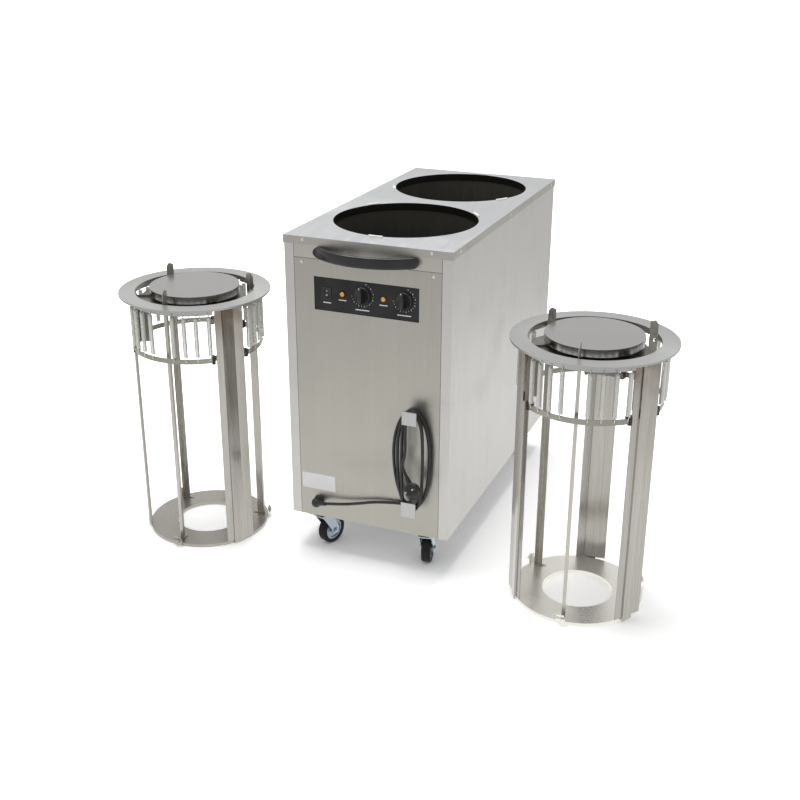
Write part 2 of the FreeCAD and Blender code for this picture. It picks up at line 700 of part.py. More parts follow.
# ---------------------------------------------------------------- lowering tubes
def flange_ring():
    """Wide top flange with turned-down edges, hanger strips and the guides' top lugs."""
    under = FLANGE_TOP - TUBE_SHEET
    plate = tube(FLANGE_IN, FLANGE_OUT, under, FLANGE_TOP)
    lip = tube(FLANGE_OUT - TUBE_SHEET, FLANGE_OUT, FLANGE_TOP - 5, under)
    collar = tube(FLANGE_IN, FLANGE_IN + TUBE_SHEET, FLANGE_TOP - 12, under)
    parts = [plate, lip, collar]
    for a in GUIDE_AZIMUTHS:
        strip = sector(BAND_R, BAND_R + 1.5, HANGER_Z - 8, under, *BAND_ENDS[a])
        for s in SPRING_ANGLES[a]:
            strip = strip.cut(turned(rod(1.6, (BAND_R - 2, 0, HANGER_Z), (BAND_R + 4, 0, HANGER_Z)), s))
        parts.append(turned(strip, a))
        lug = box(GUIDE_PIVOT_R - 5, FLANGE_IN + 1, -4, 4, FLANGE_TOP - 15.5, FLANGE_TOP - 12)
        lug = lug.cut(rod(3 + RUNNING_GAP, (GUIDE_PIVOT_R, 0, 600), (GUIDE_PIVOT_R, 0, 700)))
        parts.append(turned(lug, a))
    return fused(parts)


def base_ring():
    """Bottom ring with turned-down edges, index holes and a folded foot at each guide."""
    under = BASE_TOP - SHEET
    ring = tube(BASE_IN, BASE_OUT, under, BASE_TOP)
    rim = tube(BASE_OUT - SHEET, BASE_OUT, 0, under)
    inner_rim = tube(BASE_IN, BASE_IN + SHEET, 1, under)
    body = fused([ring, rim, inner_rim])
    feet = []
    for a in GUIDE_AZIMUTHS:
        body = body.cut(turned(rod(2.5 + RUNNING_GAP, (GUIDE_PIVOT_R, 0, 0), (GUIDE_PIVOT_R, 0, 20)), a))
        for k in range(8):
            swing = math.radians(195 + 11 * k)
            x = GUIDE_PIVOT_R + 26 * math.cos(swing)
            y = 26 * math.sin(swing)
            body = body.cut(turned(rod(1.7, (x, y, 0), (x, y, 20)), a))
        foot = box(BASE_OUT, BASE_OUT + SHEET, -11, 11, 0, 20)
        foot = foot.fuse(box(BASE_OUT, BASE_OUT + 11, -11, 11, 20, 20 + SHEET))
        stud = rod(2.5, (BASE_OUT + 6, 0, 9), (BASE_OUT + 6, 0, 32))
        wings = box(BASE_OUT + 5, BASE_OUT + 7, -10, 10, 24, 30)
        feet.append(turned(fused([foot, stud, wings]), a))
    return fused([body] + feet)


def rail():
    """Rail on the +X radius: a strip on the base ring, a step outward, a web and a folded facet."""
    top = FLANGE_TOP - TUBE_SHEET
    (r0, t0), (r1, t1) = RAIL_STRIP
    run = V(r1 - r0, t1 - t0, 0).normalize()
    out = V(run.y, -run.x, 0) * SHEET
    strip = prism([(r0, t0, BASE_TOP), (r1, t1, BASE_TOP), (r1 + out.x, t1 + out.y, BASE_TOP),
                   (r0 + out.x, t0 + out.y, BASE_TOP)], (0, 0, top - BASE_TOP))
    inner = RAIL_OUT - SHEET
    step = box(r1, RAIL_OUT, RAIL_WEB[0], RAIL_WEB[0] + SHEET, BASE_TOP, top)
    web = box(inner, RAIL_OUT, RAIL_WEB[0], RAIL_WEB[1], 0, top)
    low = RAIL_FACET_LOW
    facet = prism([(inner, RAIL_WEB[1], low), (RAIL_OUT, RAIL_WEB[1], low), (*RAIL_FACET, low),
                   (RAIL_FACET[0] - SHEET, RAIL_FACET[1], low)], (0, 0, top - low))
    return fused([web, strip, step, facet])


def rails():
    """The right-hand rail is folded one way, the other two the other way."""
    plain = rail()
    flipped = plain.mirror(V(0, 0, 0), V(0, 1, 0))
    return [turned(plain if a < 0 else flipped, a) for a in RAIL_AZIMUTHS]


def springs():
    """Close-wound tension springs from the hanger strips down to the band."""
    shapes = []
    coil = rod(SPRING_R, (SPRING_CIRCLE, 0, SPRING_LOW), (SPRING_CIRCLE, 0, SPRING_TOP))
    hook = rod(1.0, (SPRING_CIRCLE, 0, (BAND_Z[0] + BAND_Z[1]) / 2), (SPRING_CIRCLE, 0, HANGER_Z))
    one = coil.fuse(hook)
    for a in GUIDE_AZIMUTHS:
        for s in SPRING_ANGLES[a]:
            shapes.append(turned(one, a + s))
    return shapes


def block_azimuths():
    """Middle azimuth of the bearing block at each end of each band arc."""
    spots = []
    for a in GUIDE_AZIMUTHS:
        start, end = BAND_ENDS[a]
        spots += [a + start + BLOCK_INSET, a + end - BLOCK_INSET]
    return spots


def platform_disc():
    """Shallow pan, upside down, that the plates stand on."""
    top = rod(DISC_R, (0, 0, DISC_TOP - TUBE_SHEET), (0, 0, DISC_TOP))
    lip = tube(DISC_R - TUBE_SHEET, DISC_R, DISC_TOP - DISC_RIM, DISC_TOP - TUBE_SHEET)
    return fused([top, lip])


def carrier_plate():
    """Round plate under the disc, with a flat at each guide so that the guides can turn."""
    low = CARRIER_PLATE_TOP - TUBE_SHEET
    plate = rod(CARRIER_PLATE_R, (0, 0, low), (0, 0, CARRIER_PLATE_TOP))
    for a in GUIDE_AZIMUTHS:
        outside = box(CARRIER_PLATE_FLAT, CARRIER_PLATE_R + 1, -90, 90, low - 1, CARRIER_PLATE_TOP + 1)
        plate = plate.cut(turned(outside, a))
    return plate


def platform_carrier():
    """Hub, plate and three upright arms with rollers that run on the rails, and at the foot of
    each arm an arc that holds two bearing blocks."""
    top = DISC_TOP - TUBE_SHEET
    hub = rod(28, (0, 0, top - 18), (0, 0, top))
    outline = ((20, top - 18), (112, top - 18), (112, 684), (152, 684), (152, CARRIER_LOW), (126, CARRIER_LOW),
               (126, 640), (100, 668), (20, 668))
    parts = [hub, carrier_plate()]
    low, high = BAND_Z
    ends = sorted(block_azimuths())
    pairs = [(ends[1], ends[2]), (ends[3], ends[4]), (ends[5], ends[0] + 360)]
    for a, (start, end) in zip(RAIL_AZIMUTHS, pairs):
        arm = prism([(x, -1.5, z) for x, z in outline], (0, 3, 0))
        arm = arm.fuse(box(151, 162, -1.5, 1.5, CARRIER_LOW, 684))
        for z in (CARRIER_LOW + 14, 668):
            arm = arm.fuse(rod(8, (160, -9, z), (160, 9, z)))
        parts.append(turned(arm, a))
        parts.append(sector(*CARRIER_RING, low, high, start - 1.3, end + 1.3))
    for a in ends:
        parts.append(turned(box(CARRIER_RING[0] + 1, CARRIER_RING[1] + 0.5, -3, 3, low + 2, high - 2), a))
    return fused(parts)


def guide_blocks():
    """Plain bearing blocks that ride beside each rail and grip the ends of the band arcs."""
    low, high = BAND_Z
    blocks = []
    for a in block_azimuths():
        block = box(CARRIER_RING[1] + 0.5, BAND_R + 4, -BLOCK_HALF, BLOCK_HALF, low - 4, high + 4)
        slot = sector(BAND_R - 0.1, BAND_R + 2, low - 0.3, high + 0.3, -3, 3)
        blocks.append(turned(block.cut(slot), a))
    return blocks


def spring_band():
    """Three arcs that the springs' lower hooks pull on."""
    arcs = []
    z = (BAND_Z[0] + BAND_Z[1]) / 2
    for a in GUIDE_AZIMUTHS:
        arc = sector(BAND_R + 0.2, BAND_R + 1.7, BAND_Z[0], BAND_Z[1], *BAND_ENDS[a])
        for s in SPRING_ANGLES[a]:
            arc = arc.cut(turned(rod(1.6, (BAND_R - 2, 0, z), (BAND_R + 4, 0, z)), s))
        arcs.append(turned(arc, a))
    return arcs


def guide():
    """Angle bar on the +X radius that turns on two pins to suit the plate's size."""
    low = BASE_TOP + 1
    outline = ((GUIDE_IN, low), (156, low), (156, GUIDE_TOP - 9), (149, GUIDE_TOP), (GUIDE_IN, GUIDE_TOP - 3))
    blade = prism([(x, -1, z) for x, z in outline], (0, 2, 0))
    leg = box(GUIDE_PIVOT_R, 156, 1, GUIDE_LEG, low, FLANGE_TOP - 14)
    bar = blade.fuse(leg)
    notch = rod(7.2, (GUIDE_PIVOT_R, 0, FLANGE_TOP - 18), (GUIDE_PIVOT_R, 0, FLANGE_TOP - 10))
    pin = rod(3, (GUIDE_PIVOT_R, 0, FLANGE_TOP - 19), (GUIDE_PIVOT_R, 0, FLANGE_TOP - 9))
    foot = rod(5, (GUIDE_PIVOT_R - 1, 0, low), (GUIDE_PIVOT_R - 1, 0, low + 3))
    foot_pin = rod(2.5, (GUIDE_PIVOT_R, 0, 2), (GUIDE_PIVOT_R, 0, low + 3))
    arm = box(GUIDE_PIVOT_R - 28, GUIDE_PIVOT_R, -3, 3, low, low + 1.5)
    return fused([bar.cut(notch), pin, foot, foot_pin, arm])


# ---------------------------------------------------------------- write every node
def write_cabinet():
    save("top_panel", deck())
    right = side_panel()
    save("right_side_panel", right)
    save("left_side_panel", mirrored(right))
    save("back_panel", back_panel())
    save("front_panel", front_panel())
    save("handle_panel", handle_panel())
    save("inner_frame", inner_frame())
    for name, y in zip(WELL_NAMES, WELL_Y):
        save(name, well_can(y))
    save("heating_elements", *[heating_ring(y) for y in WELL_Y])
    save("rim_clips", *rim_clips())
    save("panel_screws", *screws())


def write_controls():
    save("control_fascia", fascia())
    save("switchgear", *switchgear())
    save("rocker", rocker())
    save("indicator_lamps", *lamps())
    for k, (x, z) in enumerate(KNOBS_AT):
        save("knob_%d" % (k + 1), knob(x, z))
    save("push_handle", push_handle())
    save("cord_hooks", *[cord_hook(p, z, up) for p, z, up in zip(HOOK_PLATES, HOOK_SHELVES, (True, False))])
    save("cable_gland", *cable_gland())
    x, z = LABEL_AT
    w, h = LABEL_SIZE[0] / 2, LABEL_SIZE[1] / 2
    save("rating_plate", box(x - w, x + w, -0.3, 0, z - h, z + h))


def write_cord():
    edges, smallest = arc_path(LEAD)
    lead = swept(edges, CORD_R)
    length = sum(e.Length for e in edges)
    area = math.pi * CORD_R ** 2
    print("lead length", round(length, 1), "least radius", round(smallest, 1),
          "volume ratio", round(lead.Volume / (area * length), 4))
    save("power_cord_lead", lead)
    edges = hank_path()
    hank = swept(edges, CORD_R)
    length = sum(e.Length for e in edges)
    print("hank length", round(length, 1), "volume ratio", round(hank.Volume / (area * length), 4),
          "least gap to itself", round(self_gap(edges, CORD_R, 40), 2))
    save("power_cord_hank", hank)
    save("plug", plug())


def write_casters():
    save("caster_plates", *[caster_plate(x, y) for x, y, a in CASTERS.values()])
    for name, (x, y, a) in CASTERS.items():
        for node, shape in (("fork", fork()), ("wheel", wheel()), ("tyre", tyre())):
            save(node + "_" + name, moved(turned(shape, a), x, y))


def write_tube(side, centre):
    pieces = {
        "flange_ring": [flange_ring()],
        "base_ring": [base_ring()],
        "rails": rails(),
        "springs": springs(),
        "platform_disc": [platform_disc()],
        "platform_carrier": [platform_carrier()],
        "guide_blocks": guide_blocks(),
        "spring_band": spring_band(),
    }
    for k, (a, turn) in enumerate(zip(GUIDE_AZIMUTHS, GUIDE_TURNS[side])):
        pieces["guide_%d" % (k + 1)] = [turned(turned(guide(), turn, GUIDE_PIVOT_R), a)]
    for name, shapes in pieces.items():
        save(side + "_" + name, *[moved(s, *centre) for s in shapes])


write_cabinet()
write_controls()
write_cord()
write_casters()
for side, centre in TUBES.items():
    write_tube(side, centre)
print("nodes", len(os.listdir("parts")))
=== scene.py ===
# %% [markdown]
# Plate dispenser cart: the looks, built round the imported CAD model.
# The cart is a closed steel cabinet on four casters with two round wells in its deck. The two
# sprung tubes that hang in those wells stand beside it on the floor. The CAD model gives every
# piece its place, so this lesson adds finishes to it and swaps a few pieces for finer ones.

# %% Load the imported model
import math

import bmesh
import bpy
import numpy as np
from mathutils import Matrix, Vector


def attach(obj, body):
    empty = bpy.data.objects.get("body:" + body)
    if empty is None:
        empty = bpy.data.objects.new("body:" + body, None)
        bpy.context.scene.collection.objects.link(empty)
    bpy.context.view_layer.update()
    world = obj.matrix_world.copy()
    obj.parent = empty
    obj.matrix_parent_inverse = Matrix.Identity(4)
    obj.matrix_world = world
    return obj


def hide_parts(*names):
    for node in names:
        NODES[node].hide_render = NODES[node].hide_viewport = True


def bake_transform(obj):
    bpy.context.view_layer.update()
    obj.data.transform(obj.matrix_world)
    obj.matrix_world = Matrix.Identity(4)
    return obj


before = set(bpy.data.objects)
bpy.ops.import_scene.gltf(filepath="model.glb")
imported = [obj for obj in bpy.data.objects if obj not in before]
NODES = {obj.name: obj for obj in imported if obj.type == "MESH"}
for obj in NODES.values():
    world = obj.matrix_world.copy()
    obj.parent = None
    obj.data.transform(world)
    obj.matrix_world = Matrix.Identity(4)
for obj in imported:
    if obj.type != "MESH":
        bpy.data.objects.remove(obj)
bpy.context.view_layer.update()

# %% [markdown]
# The maker's drawing of the cart starts at the middle of the cabinet's front face, in
# millimetres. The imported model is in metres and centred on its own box. One small function
# carries points from the drawing into the model, so every later number can stay in millimetres.

# %% From the drawing to the model
DRAWING_SHIFT = np.array((-19.5, -376.7, 0.0))


def place(points):
    """Each point plus the shift, divided by a thousand: drawing millimetres to model metres."""
    return (np.asarray(points, float) + DRAWING_SHIFT) / 1000


def unit(vector):
    """The vector divided by its own length."""
    vector = np.asarray(vector, float)
    return vector / np.linalg.norm(vector)


print("the cabinet's front middle is at", place((0, 0, 0)))

# %% [markdown]
# The camera comes first, because every other choice is judged through it. Its place and its
# 52.5 mm lens were solved from the photograph's straight edges and rings. The turn matrix is
# built from its three axes: right, up, and backwards along the line of sight.

# %% Camera
CAMERA_AT = (1.0985, -2.9117, 1.619)
CAMERA_AZIMUTH = math.radians(22.07)
CAMERA_PITCH = math.radians(22.46)
CAMERA_ROLL = math.radians(0.17)

backwards = Vector((math.sin(CAMERA_AZIMUTH) * math.cos(CAMERA_PITCH),
                    -math.cos(CAMERA_AZIMUTH) * math.cos(CAMERA_PITCH), math.sin(CAMERA_PITCH)))
level_right = (-backwards).cross(Vector((0, 0, 1))).normalized()
level_up = backwards.cross(level_right)
right = level_right * math.cos(CAMERA_ROLL) + level_up * math.sin(CAMERA_ROLL)
up = level_up * math.cos(CAMERA_ROLL) - level_right * math.sin(CAMERA_ROLL)

lens = bpy.data.cameras.new("camera")
lens.sensor_width = 36.0
lens.lens = 52.5
lens.clip_end = 100.0
camera = bpy.data.objects.new("camera", lens)
camera.matrix_world = Matrix.Translation(CAMERA_AT) @ Matrix((right, up, backwards)).transposed().to_4x4()
bpy.context.scene.collection.objects.link(camera)
bpy.context.scene.camera = camera
bpy.context.scene.view_settings.view_transform = "Standard"
print("camera looks along", [round(c, 3) for c in -backwards])

# %% [markdown]
# Pieces that the CAD model draws plainly are swapped for surfaces worked out with numpy. Each
# surface is a grid of points: one direction runs along a path or up a profile, the other goes
# round it. The function below turns such a grid into faces and checks that they point outward
# by the sign of the volume that they enclose.

# %% Grids of points become meshes
def skin(grid, caps=True, loop=False):
    """Quads between neighbouring points of a grid whose columns close on themselves.

    The rows are closed by one flat face at each end, or joined last to first where loop is set.
    """
    rows, columns = grid.shape[:2]
    index = np.arange(rows * columns).reshape(rows, columns)
    if loop:
        index = np.vstack([index, index[:1]])
    ahead = np.roll(index, -1, axis=1)
    quads = np.stack([index[:-1], ahead[:-1], ahead[1:], index[1:]], axis=-1).reshape(-1, 4)
    points = grid.reshape(-1, 3)
    faces = quads.tolist()
    if caps and not loop:
        faces += [index[0, ::-1].tolist(), index[-1].tolist()]
    corner, a, b, c = (points[quads[:, k]] - points.mean(axis=0) for k in range(4))
    swept = np.einsum("ij,ij->i", corner, np.cross(a, b)) + np.einsum("ij,ij->i", corner, np.cross(b, c))
    if swept.sum() < 0:
        faces = [face[::-1] for face in faces]
    return points, faces


def make_mesh(name, skins, crease=40.0):
    """All the skins in one mesh, with doubles merged and edges sharper than crease kept sharp."""
    points = np.vstack([p for p, f in skins])
    starts = np.cumsum([0] + [len(p) for p, f in skins])
    faces = [[start + i for i in face] for start, (p, f) in zip(starts, skins) for face in f]
    mesh = bpy.data.meshes.new(name)
    mesh.from_pydata(points.tolist(), [], faces)
    work = bmesh.new()
    work.from_mesh(mesh)
    bmesh.ops.remove_doubles(work, verts=work.verts, dist=2e-6)
    work.to_mesh(mesh)
    work.free()
    mesh.shade_smooth()
    mesh.set_sharp_from_angle(angle=math.radians(crease))
    return mesh


def add_piece(name, skins, body, stands_for=(), crease=40.0):
    """One piece of the object, riding on its body; its points are drawing millimetres."""
    skins = [(place(points), faces) for points, faces in skins]
    piece = bpy.data.objects.new(name, make_mesh(name, skins, crease))
    bpy.context.scene.collection.objects.link(piece)
    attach(piece, body)
    if stands_for:
        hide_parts(*stands_for)
    print(name, len(piece.data.polygons), "faces")
    return piece


def frame_along(axis, hint=(0, 0, 1)):
    """Two directions square to an axis: the first leans as near to the hint as it can."""
    axis = unit(axis)
    first = unit(np.asarray(hint, float) - axis * np.dot(hint, axis))
    return first, np.cross(axis, first)


def lathe(profile, centre, axis, hint=(0, 0, 1), steps=48, radius=None):
    """A turned shape: each (distance along, radius) of the profile goes once round the axis."""
    profile = np.asarray(profile, float)
    first, second = frame_along(axis, hint)
    angle = np.linspace(0, 2 * np.pi, steps, endpoint=False)
    spread = profile[:, 1, None] * (np.ones(steps) if radius is None else radius(angle))
    ring = np.cos(angle)[:, None] * first + np.sin(angle)[:, None] * second
    along = profile[:, 0, None, None] * unit(axis)
    return skin(np.asarray(centre, float) + along + spread[:, :, None] * ring[None])


# %% [markdown]
# The cord leaves a gland at the lower left of the front, runs along the panel, and is wound up
# round two hooks with its plug tucked under. A cord is a fixed length of something springy, so
# one smooth spline carries it all: a few points for the free stretch, then sixteen for each
# turn, worked out by a loop. Each turn is an oval with rounder ends and flatter sides than an
# ellipse, because the weight and the hooks pull it long. The cord's half thickness is given as
# the radius of its points, on a bevel of one, because the curve's own box grows by that radius.

# %% Cord
CORD_ACROSS = 8.0
LEAD = ((-124.0, -24.0, 162.0), (-94.0, -21.6, 165.6), (-58.0, -18.8, 170.6), (-20.0, -15.6, 179.0),
        (20.0, -12.2, 189.6), (58.0, -9.4, 194.8), (92.0, -7.0, 198.0), (112.0, -6.0, 198.1))
HANK_X = 131.5
HANK_MIDDLE = 350.0
HANK_TOP = 470.0
HANK_BOTTOM = 193.8
HANK_RIGHT = (174.8, 178.0, 162.3, 165.5)
HANK_LEFT = (76.0, 90.5, 105.5)
HANK_FIRST_Y = -6.0
HANK_LAYER = 8.5
TURN_POINTS = 16
TAIL = ((122.0, -32.6, 462.0), (117.0, -33.4, 428.0), (121.0, -38.0, 356.0))
PLUG_FACE = np.array((146.0, -62.0, 271.0))
PLUG_AXIS = unit((0.04, -0.94, 0.34))
PLUG_NECK = unit(np.array((-0.50, -0.05, 0.86)) - PLUG_AXIS * np.dot((-0.50, -0.05, 0.86), PLUG_AXIS))
PLUG_DEEP = 22.0
PLUG_MIDDLE = PLUG_FACE - PLUG_AXIS * PLUG_DEEP / 2
NECK_LONG = 36.0


def hank_point(turn, angle):
    """Oval round the hooks, angle 0 at the bottom: width times the sine, height times a power of
    the cosine that gives each end a radius near 18 mm; the layer moves out on the left side."""
    side = HANK_RIGHT[turn] if angle <= math.pi else HANK_LEFT[min(turn, len(HANK_LEFT) - 1)]
    wide = abs(side - HANK_X)
    end = HANK_BOTTOM if math.cos(angle) > 0 else HANK_TOP
    power = min(1.0, max(0.34, wide * wide / (abs(end - HANK_MIDDLE) * 18.0)))
    x = HANK_X + wide * math.sin(angle)
    z = HANK_MIDDLE + (end - HANK_MIDDLE) * abs(math.cos(angle)) ** power
    y = HANK_FIRST_Y - HANK_LAYER * (turn + max(0.0, angle - math.pi) / math.pi)
    return x, y, z


route = list(LEAD)
for turn in range(len(HANK_RIGHT)):
    last = TURN_POINTS // 2 if turn == len(HANK_LEFT) else TURN_POINTS - 1
    for step in range(1 if turn == 0 else 0, last + 1):
        route.append(hank_point(turn, 2 * math.pi * step / TURN_POINTS))
route += TAIL
route += [tuple(PLUG_MIDDLE + PLUG_NECK * d) for d in (NECK_LONG + 34, NECK_LONG + 12, NECK_LONG - 4)]

curve = bpy.data.curves.new("power_cord", "CURVE")
curve.dimensions = "3D"
curve.bevel_depth = 1.0
curve.bevel_resolution = 4
curve.resolution_u = 6
curve.use_fill_caps = True
spline = curve.splines.new("NURBS")
spline.points.add(len(route) - 1)
spline.points.foreach_set("co", np.hstack([place(route), np.ones((len(route), 1))]).ravel())
spline.points.foreach_set("radius", np.full(len(route), CORD_ACROSS / 2000))
spline.order_u = 3
spline.use_endpoint_u = True
cord = bpy.data.objects.new("power_cord", curve)
bpy.context.scene.collection.objects.link(cord)
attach(cord, "cabinet")
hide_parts("power_cord_lead", "power_cord_hank")
print("cord points", len(route), "spline length", round(spline.calc_length(), 3), "m")

# %% [markdown]
# The plug is a flat round mains plug with its cord coming out at the side. Its body is turned
# from a profile, its sleeve is a cone with grooves that let it bend, and its pins are two short
# rods with rounded ends. A turned profile is the honest way to make all three.

# %% Plug
PLUG_R = 18.8
PIN_R = 2.4
PIN_LONG = 19.0
PIN_APART = 9.5


def plug_body():
    """Rounded puck: the radius falls off at both faces, with one groove round its waist."""
    profile = [(0, 0), (0, PLUG_R - 5), (-0.8, PLUG_R - 2), (-3, PLUG_R), (-9, PLUG_R),
               (-9.6, PLUG_R - 0.7), (-11, PLUG_R - 0.7), (-11.6, PLUG_R), (-18, PLUG_R - 0.6),
               (-21, PLUG_R - 2.6), (-PLUG_DEEP, PLUG_R - 7), (-PLUG_DEEP, 0)]
    return lathe(profile, PLUG_FACE, PLUG_AXIS)


def sleeve(centre, axis, long, wide, narrow, grooves, hint=(0, 0, 1)):
    """Cone from wide to narrow whose radius dips at every groove, as a raised cosine."""
    along = np.linspace(0, long, grooves * 8 + 9)
    fall = wide + (narrow - wide) * along / long
    dip = 0.45 * np.maximum(0, np.cos(2 * np.pi * grooves * along / long)) ** 2 * (along > 0.3 * long)
    profile = np.column_stack([along, fall - dip])
    profile = np.vstack([(0, 0), profile, (long, 0)])
    return lathe(profile, centre, axis, hint, steps=28)


def pin(side):
    """Straight rod with a rounded tip."""
    across = np.cross(PLUG_AXIS, PLUG_NECK)
    tip = [(PIN_LONG - 2.4 + 2.4 * math.sin(a), PIN_R * math.cos(a)) for a in np.linspace(0, math.pi / 2, 6)]
    return lathe([(-1, 0), (-1, PIN_R), *tip], PLUG_FACE + across * PIN_APART * side, PLUG_AXIS, steps=20)


plug = add_piece("mains_plug", [plug_body(), sleeve(PLUG_MIDDLE, PLUG_NECK, NECK_LONG, 9.0, 5.4, 5)],
                 "cabinet", ["plug"])
pins = add_piece("plug_pins", [pin(-1), pin(1)], "cabinet")

# %% [markdown]
# The gland is a black nut on the panel with a domed elbow that sends the cord to the right. Its
# tapered sleeve is what takes the strain, so it is a cone with grooves like the plug's.

# %% Cable gland
GLAND = np.array((-146.0, 0.0, 157.0))


def six_sided(radius_flat):
    """Radius of a hexagon with slightly rounded corners, as a share of its corner radius."""
    def shape(angle):
        turn = (angle + math.pi / 6) % (math.pi / 3) - math.pi / 6
        return np.minimum(1.0, radius_flat / np.cos(turn))
    return shape


def gland_dome():
    """Neck of 13 mm that ends in half a ball."""
    ball = [(17 + 13 * math.sin(a), 13 * math.cos(a)) for a in np.linspace(0, math.pi / 2, 14)]
    ridges = [(4.5, 0), (4.5, 13), (8, 13), (8.6, 12.3), (9.4, 12.3), (10, 13)]
    return lathe(ridges + ball, GLAND, (0, -1, 0), steps=40)


def gland_parts():
    """Nut, dome, tapered sleeve to the cord, threaded tail and back nut."""
    mouth = np.array(LEAD[0])
    start = GLAND + (0, -19, 1)
    direction = unit(mouth - start)
    nut = lathe([(0, 0), (0, 15), (4, 15), (5, 14), (5, 0)], GLAND, (0, -1, 0), steps=72, radius=six_sided(0.9))
    tail = lathe([(0, 0), (0, 7.5), (14, 7.5), (14, 0)], GLAND, (0, 1, 0), steps=32)
    back = lathe([(1.5, 0), (1.5, 12), (7, 12), (7, 0)], GLAND, (0, 1, 0), steps=72, radius=six_sided(0.9))
    return [nut, gland_dome(), sleeve(start, direction, 34.0, 8.2, 5.0, 5), tail, back]


add_piece("gland", gland_parts(), "cabinet", ["cable_gland"])

# %% [markdown]
# The push handle is one thick bar bowed out from the cabinet, with a flat rounded foot at each
# end. A soft rectangle carried along the bow makes it in one smooth skin, and a smooth skin is
# what gives black gloss its clean line of light.

# %% Push handle
HANDLE_Z = 852.0
HANDLE_TALL = 28.0
HANDLE_THICK = 13.0
HANDLE_END = 140.0
HANDLE_REACH = 58.0
HANDLE_BOW_R = 206.0
FOOT_R = 10.0


def handle_line(samples=160):
    """Centre line as arcs: flat foot, a short arc outward, the long bow, and the same again."""
    bow_y = HANDLE_BOW_R - (HANDLE_REACH - HANDLE_THICK / 2)
    small_y = -HANDLE_THICK / 2 - FOOT_R
    small_x = math.sqrt((HANDLE_BOW_R + FOOT_R) ** 2 - (bow_y - small_y) ** 2)
    lean = math.atan2(small_x, bow_y - small_y)
    foot = [(small_x + (HANDLE_END - small_x) * t, -HANDLE_THICK / 2) for t in np.linspace(1, 0.06, 24)]
    short = [(small_x - FOOT_R * math.sin(a), small_y + FOOT_R * math.cos(a)) for a in np.linspace(0, lean, 10)]
    long = [(HANDLE_BOW_R * math.sin(a), bow_y - HANDLE_BOW_R * math.cos(a))
            for a in np.linspace(lean, 0, samples)]
    half = np.array(foot + short + long[1:])
    return np.vstack([half, half[-2::-1] * (-1, 1)])


def handle_skin():
    """A superellipse 13 by 28 mm carried along the line; its height shrinks to nothing over the
    last 14 mm at each end, as the root of one minus the square of the distance."""
    line = handle_line()
    across = np.gradient(line, axis=0)
    across /= np.linalg.norm(across, axis=1)[:, None]
    normal = np.column_stack([-across[:, 1], across[:, 0]])
    inward = HANDLE_END - np.abs(line[:, 0])
    radius = HANDLE_TALL / 2
    tall = radius * np.sqrt(np.clip(1 - (1 - np.clip(inward / radius, 0, 1)) ** 2, 1e-4, 1))
    angle = np.linspace(0, 2 * np.pi, 40, endpoint=False)
    soft = 0.42
    wide = np.sign(np.cos(angle)) * np.abs(np.cos(angle)) ** soft * HANDLE_THICK / 2
    high = np.sign(np.sin(angle)) * np.abs(np.sin(angle)) ** soft
    x = line[:, 0, None] + normal[:, 0, None] * wide
    y = np.minimum(line[:, 1, None] + normal[:, 1, None] * wide, -0.01)
    z = HANDLE_Z + tall[:, None] * high
    return skin(np.stack([x, y, z], axis=-1))


add_piece("bowed_handle", [handle_skin()], "cabinet", ["push_handle"], crease=60.0)

# %% [markdown]
# Each knob is a low skirt with a tall finger bar across it. The skirt is turned; the bar is a
# rounded block whose footprint is cut to the skirt's circle. A white pointer is set in the
# skirt's rim where the bar starts.

# %% Knobs
KNOBS_AT = ((-12.0, 752.0), (100.0, 752.0))
KNOB_R = 23.0
BAR_HALF_WIDE = 6.4
BAR_HALF_LONG = KNOB_R - 3.4


def knob_bar(x, z):
    """Stack of outlines: a bar's superellipse that narrows from the skirt out to its top."""
    angle = np.linspace(0, 2 * np.pi, 48, endpoint=False)
    rows = []
    for depth, share in ((4.0, 1.0), (7.0, 1.0), (16.5, 0.84), (18.4, 0.76), (19.0, 0.62), (19.0, 0.0)):
        wide = BAR_HALF_WIDE * share * np.sign(np.cos(angle)) * np.abs(np.cos(angle)) ** 0.6
        reach = BAR_HALF_LONG * (0.4 + 0.6 * share if share else 0)
        high = reach * np.sign(np.sin(angle)) * np.abs(np.sin(angle)) ** 0.8
        rows.append(np.column_stack([x + wide, np.full(48, -depth), z + high]))
    return skin(np.array(rows))


def knob_skirt(x, z):
    """Turned skirt with 36 shallow flutes on its side, and the spindle behind it."""
    profile = [(-0.5, 0), (-0.5, KNOB_R), (1.2, KNOB_R), (4.4, KNOB_R - 1.0), (5.6, KNOB_R - 2.4),
               (5.4, KNOB_R - 5), (4.6, KNOB_R - 6), (4.6, 0)]
    flutes = lambda angle: 1 - 0.008 * (1 + np.cos(36 * angle))
    spindle = lathe([(-0.5, 0), (-0.5, 3), (-16.5, 3), (-16.5, 0)], (x, 0, z), (0, -1, 0), steps=24)
    return [lathe(profile, (x, 0, z), (0, -1, 0), steps=144, radius=flutes), spindle]


def knob_pointer(x, z):
    """Small raised dash on the skirt, up and to the left of the bar."""
    ring = 0.5 * np.array([(-1, -1), (1, -1), (1, 1), (-1, 1)])
    side = np.array((-0.34, 0.94))
    along = np.array((0.94, 0.34))
    spots = [(x, z) + side * 18.4 + along * a * 2.6 + side * b * 4.6 for a, b in ring]
    rows = [[(px, -depth, pz) for px, pz in spots] for depth in (5.2, 6.1)]
    return skin(np.array(rows))


for number, (x, z) in enumerate(KNOBS_AT, 1):
    add_piece(f"dial_knob_{number}", [*knob_skirt(x, z), knob_bar(x, z)], f"knob_{number}",
              [f"knob_{number}"])
    add_piece(f"knob_pointer_{number}", [knob_pointer(x, z)], f"knob_{number}")

